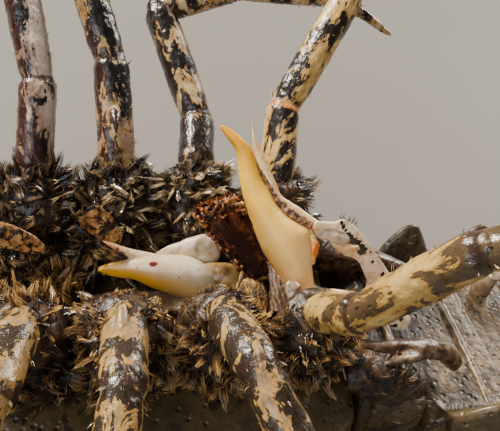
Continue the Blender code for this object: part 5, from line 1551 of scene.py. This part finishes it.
def make_mouth_legs():
    coat = Coat()
    for side, sign in SIDES.items():
        limb = from_node(f"maxilliped_{side}", f"mouth_leg_{side}", "belly", 0.18, 3, 0.10, 0.7)
        inner = lambda c, n: n.y * sign < 0.3 and n.z > -0.5 and c.z < 18.5
        furred(coat, limb, 260, inner, (-0.4, -0.3 * sign, 0.9), 1.5, 6, 0.8, 0.2, 0.5, 0.032)
    coat.piece("mouth_bristles")


def locked(coat, made, count, where, lean, length, strands, width, tone):
    """Wet locks over the part of a piece that where picks."""
    for point, normal in places(made, count, where):
        coat.lock(point, normal + Vector(lean) + scattered(0.75), length * random.uniform(0.6, 1.3), strands,
                  width * random.uniform(0.7, 1.3), tone + random.uniform(-0.15, 0.25))


PLATE = [
    ((-4.55, 2.6, 19.5), (-4.2, 2.6, 20.3), 0.12), ((-4.2, 2.45, 18.95), (-3.75, 2.7, 20.6), 0.2),
    ((-3.5, 2.3, 18.4), (-3.1, 2.75, 20.35), 0.22), ((-2.7, 2.2, 17.95), (-2.3, 2.6, 19.4), 0.2),
    ((-2.1, 2.1, 17.75), (-1.9, 2.3, 18.4), 0.12)]
PLANK = [
    ((-10.4, 1.0, 19.6), (-10.2, 1.4, 21.2), 0.25), ((-9.5, 1.0, 19.2), (-9.3, 1.4, 20.7), 0.3),
    ((-8.4, 1.0, 18.9), (-8.2, 1.4, 20.4), 0.3), ((-7.3, 1.0, 18.5), (-7.2, 1.3, 19.8), 0.26),
    ((-6.5, 1.0, 18.3), (-6.4, 1.1, 18.9), 0.12)]


def make_coats():
    """The wet bristles over the leg bases: dark locks, golden ones among them, and two bare plates."""
    for name, rows in (("bare_plate", PLATE), ("bare_ridge", PLANK)):
        rough_blade(name, rows, (-0.2, -0.75, 0.6), 20, 18, "cracked", 0.2, 0.4, square=0.8)
    far, near = Coat(), Coat()
    for (number, side), base in bases.items():
        if side == "left":
            full = 1.0 if number < 5 else 0.45
            inner = lambda c, n: c.z > 15.0 and (n.y < 0.7 or c.z > 19)
            furred(far, base, int(160 * full), inner, (0.0, -0.2, 0.4), 0.7, 8, 0.2, 0.36, 0.5, 0.042)
            locked(far, base, int(130 * full), inner, (0.35, -0.35, 0.35), 1.35, 17, 0.36, 0.30)
            furred(far, base, int(70 * full), inner, (0.2, -0.2, 0.6), 1.1, 10, 0.85, 0.34, 0.2, 0.030)
            furred(far, base, int(60 * full), inner, (0.3, -0.1, 0.7), 1.6, 1, 1.0, 0.2, 0.2, 0.024, 0.3)
            if number in (3, 4):
                crest = lambda c, n: c.z > 18.3 and n.y < 0.2
                locked(far, base, 26, crest, (0.5, -0.4, 0.5), 1.25, 16, 0.34, 0.95)
        else:
            cropped = lambda c, n: -3.4 < c.x < 3.8 and c.y > -6.0 and c.z > 15.4
            bare = lambda c: 3.6 < c.x < 10.0 and c.y > -5.3 and c.z > 16.0
            clear = lambda c, n: c.z > 14.9 and not bare(c) and not cropped(c, n)
            furred(near, base, 60, cropped, (0.0, -0.6, 0.0), 0.45, 8, 0.55, 0.3, 0.5)
            furred(near, base, 105, clear, (-0.1, -0.1, 0.1), 0.7, 8, 0.5, 0.36, 0.5, 0.045)
            locked(near, base, 60, clear, (-0.1, -0.15, 0.15), 1.15, 14, 0.36, 0.55)
            furred(near, base, 60, clear, (-0.1, -0.1, 0.2), 0.9, 9, 0.9, 0.3, 0.3, 0.034)
    for _ in range(90):
        x = random.uniform(-10.5, -3.8)
        tone = random.choice((0.2, 0.45, 0.9))
        near.lock((x, random.uniform(-2.6, 2.6), 15.2), scattered(0.8) + Vector((0, 0, 1)), 1.9, 14, 0.4,
                  tone)
    for _ in range(26):
        at = (random.uniform(-3.3, -1.6), random.uniform(0.3, 0.8), random.uniform(18.0, 18.9))
        near.tuft(at, (-0.9, random.uniform(-0.3, 0.3), random.uniform(0.1, 0.7)), 0.75, 7, 0.22, 0.4, 0.028,
                  0.6)
    far.piece("far_bristles")
    near.piece("near_bristles", "golden")


make_camera()
make_stage()
spike_coat = Coat()
bases = {}
for limb_side in SIDES:
    for limb in (2, 3, 4, 5):
        bases[limb, limb_side] = make_leg(limb, limb_side, spike_coat)
spike_coat.piece("leg_spikes")
make_stylets()
make_brush()
make_flap()
make_coats()
make_trunk()
make_claws()
make_feelers()
make_tail()
make_mouth_legs()
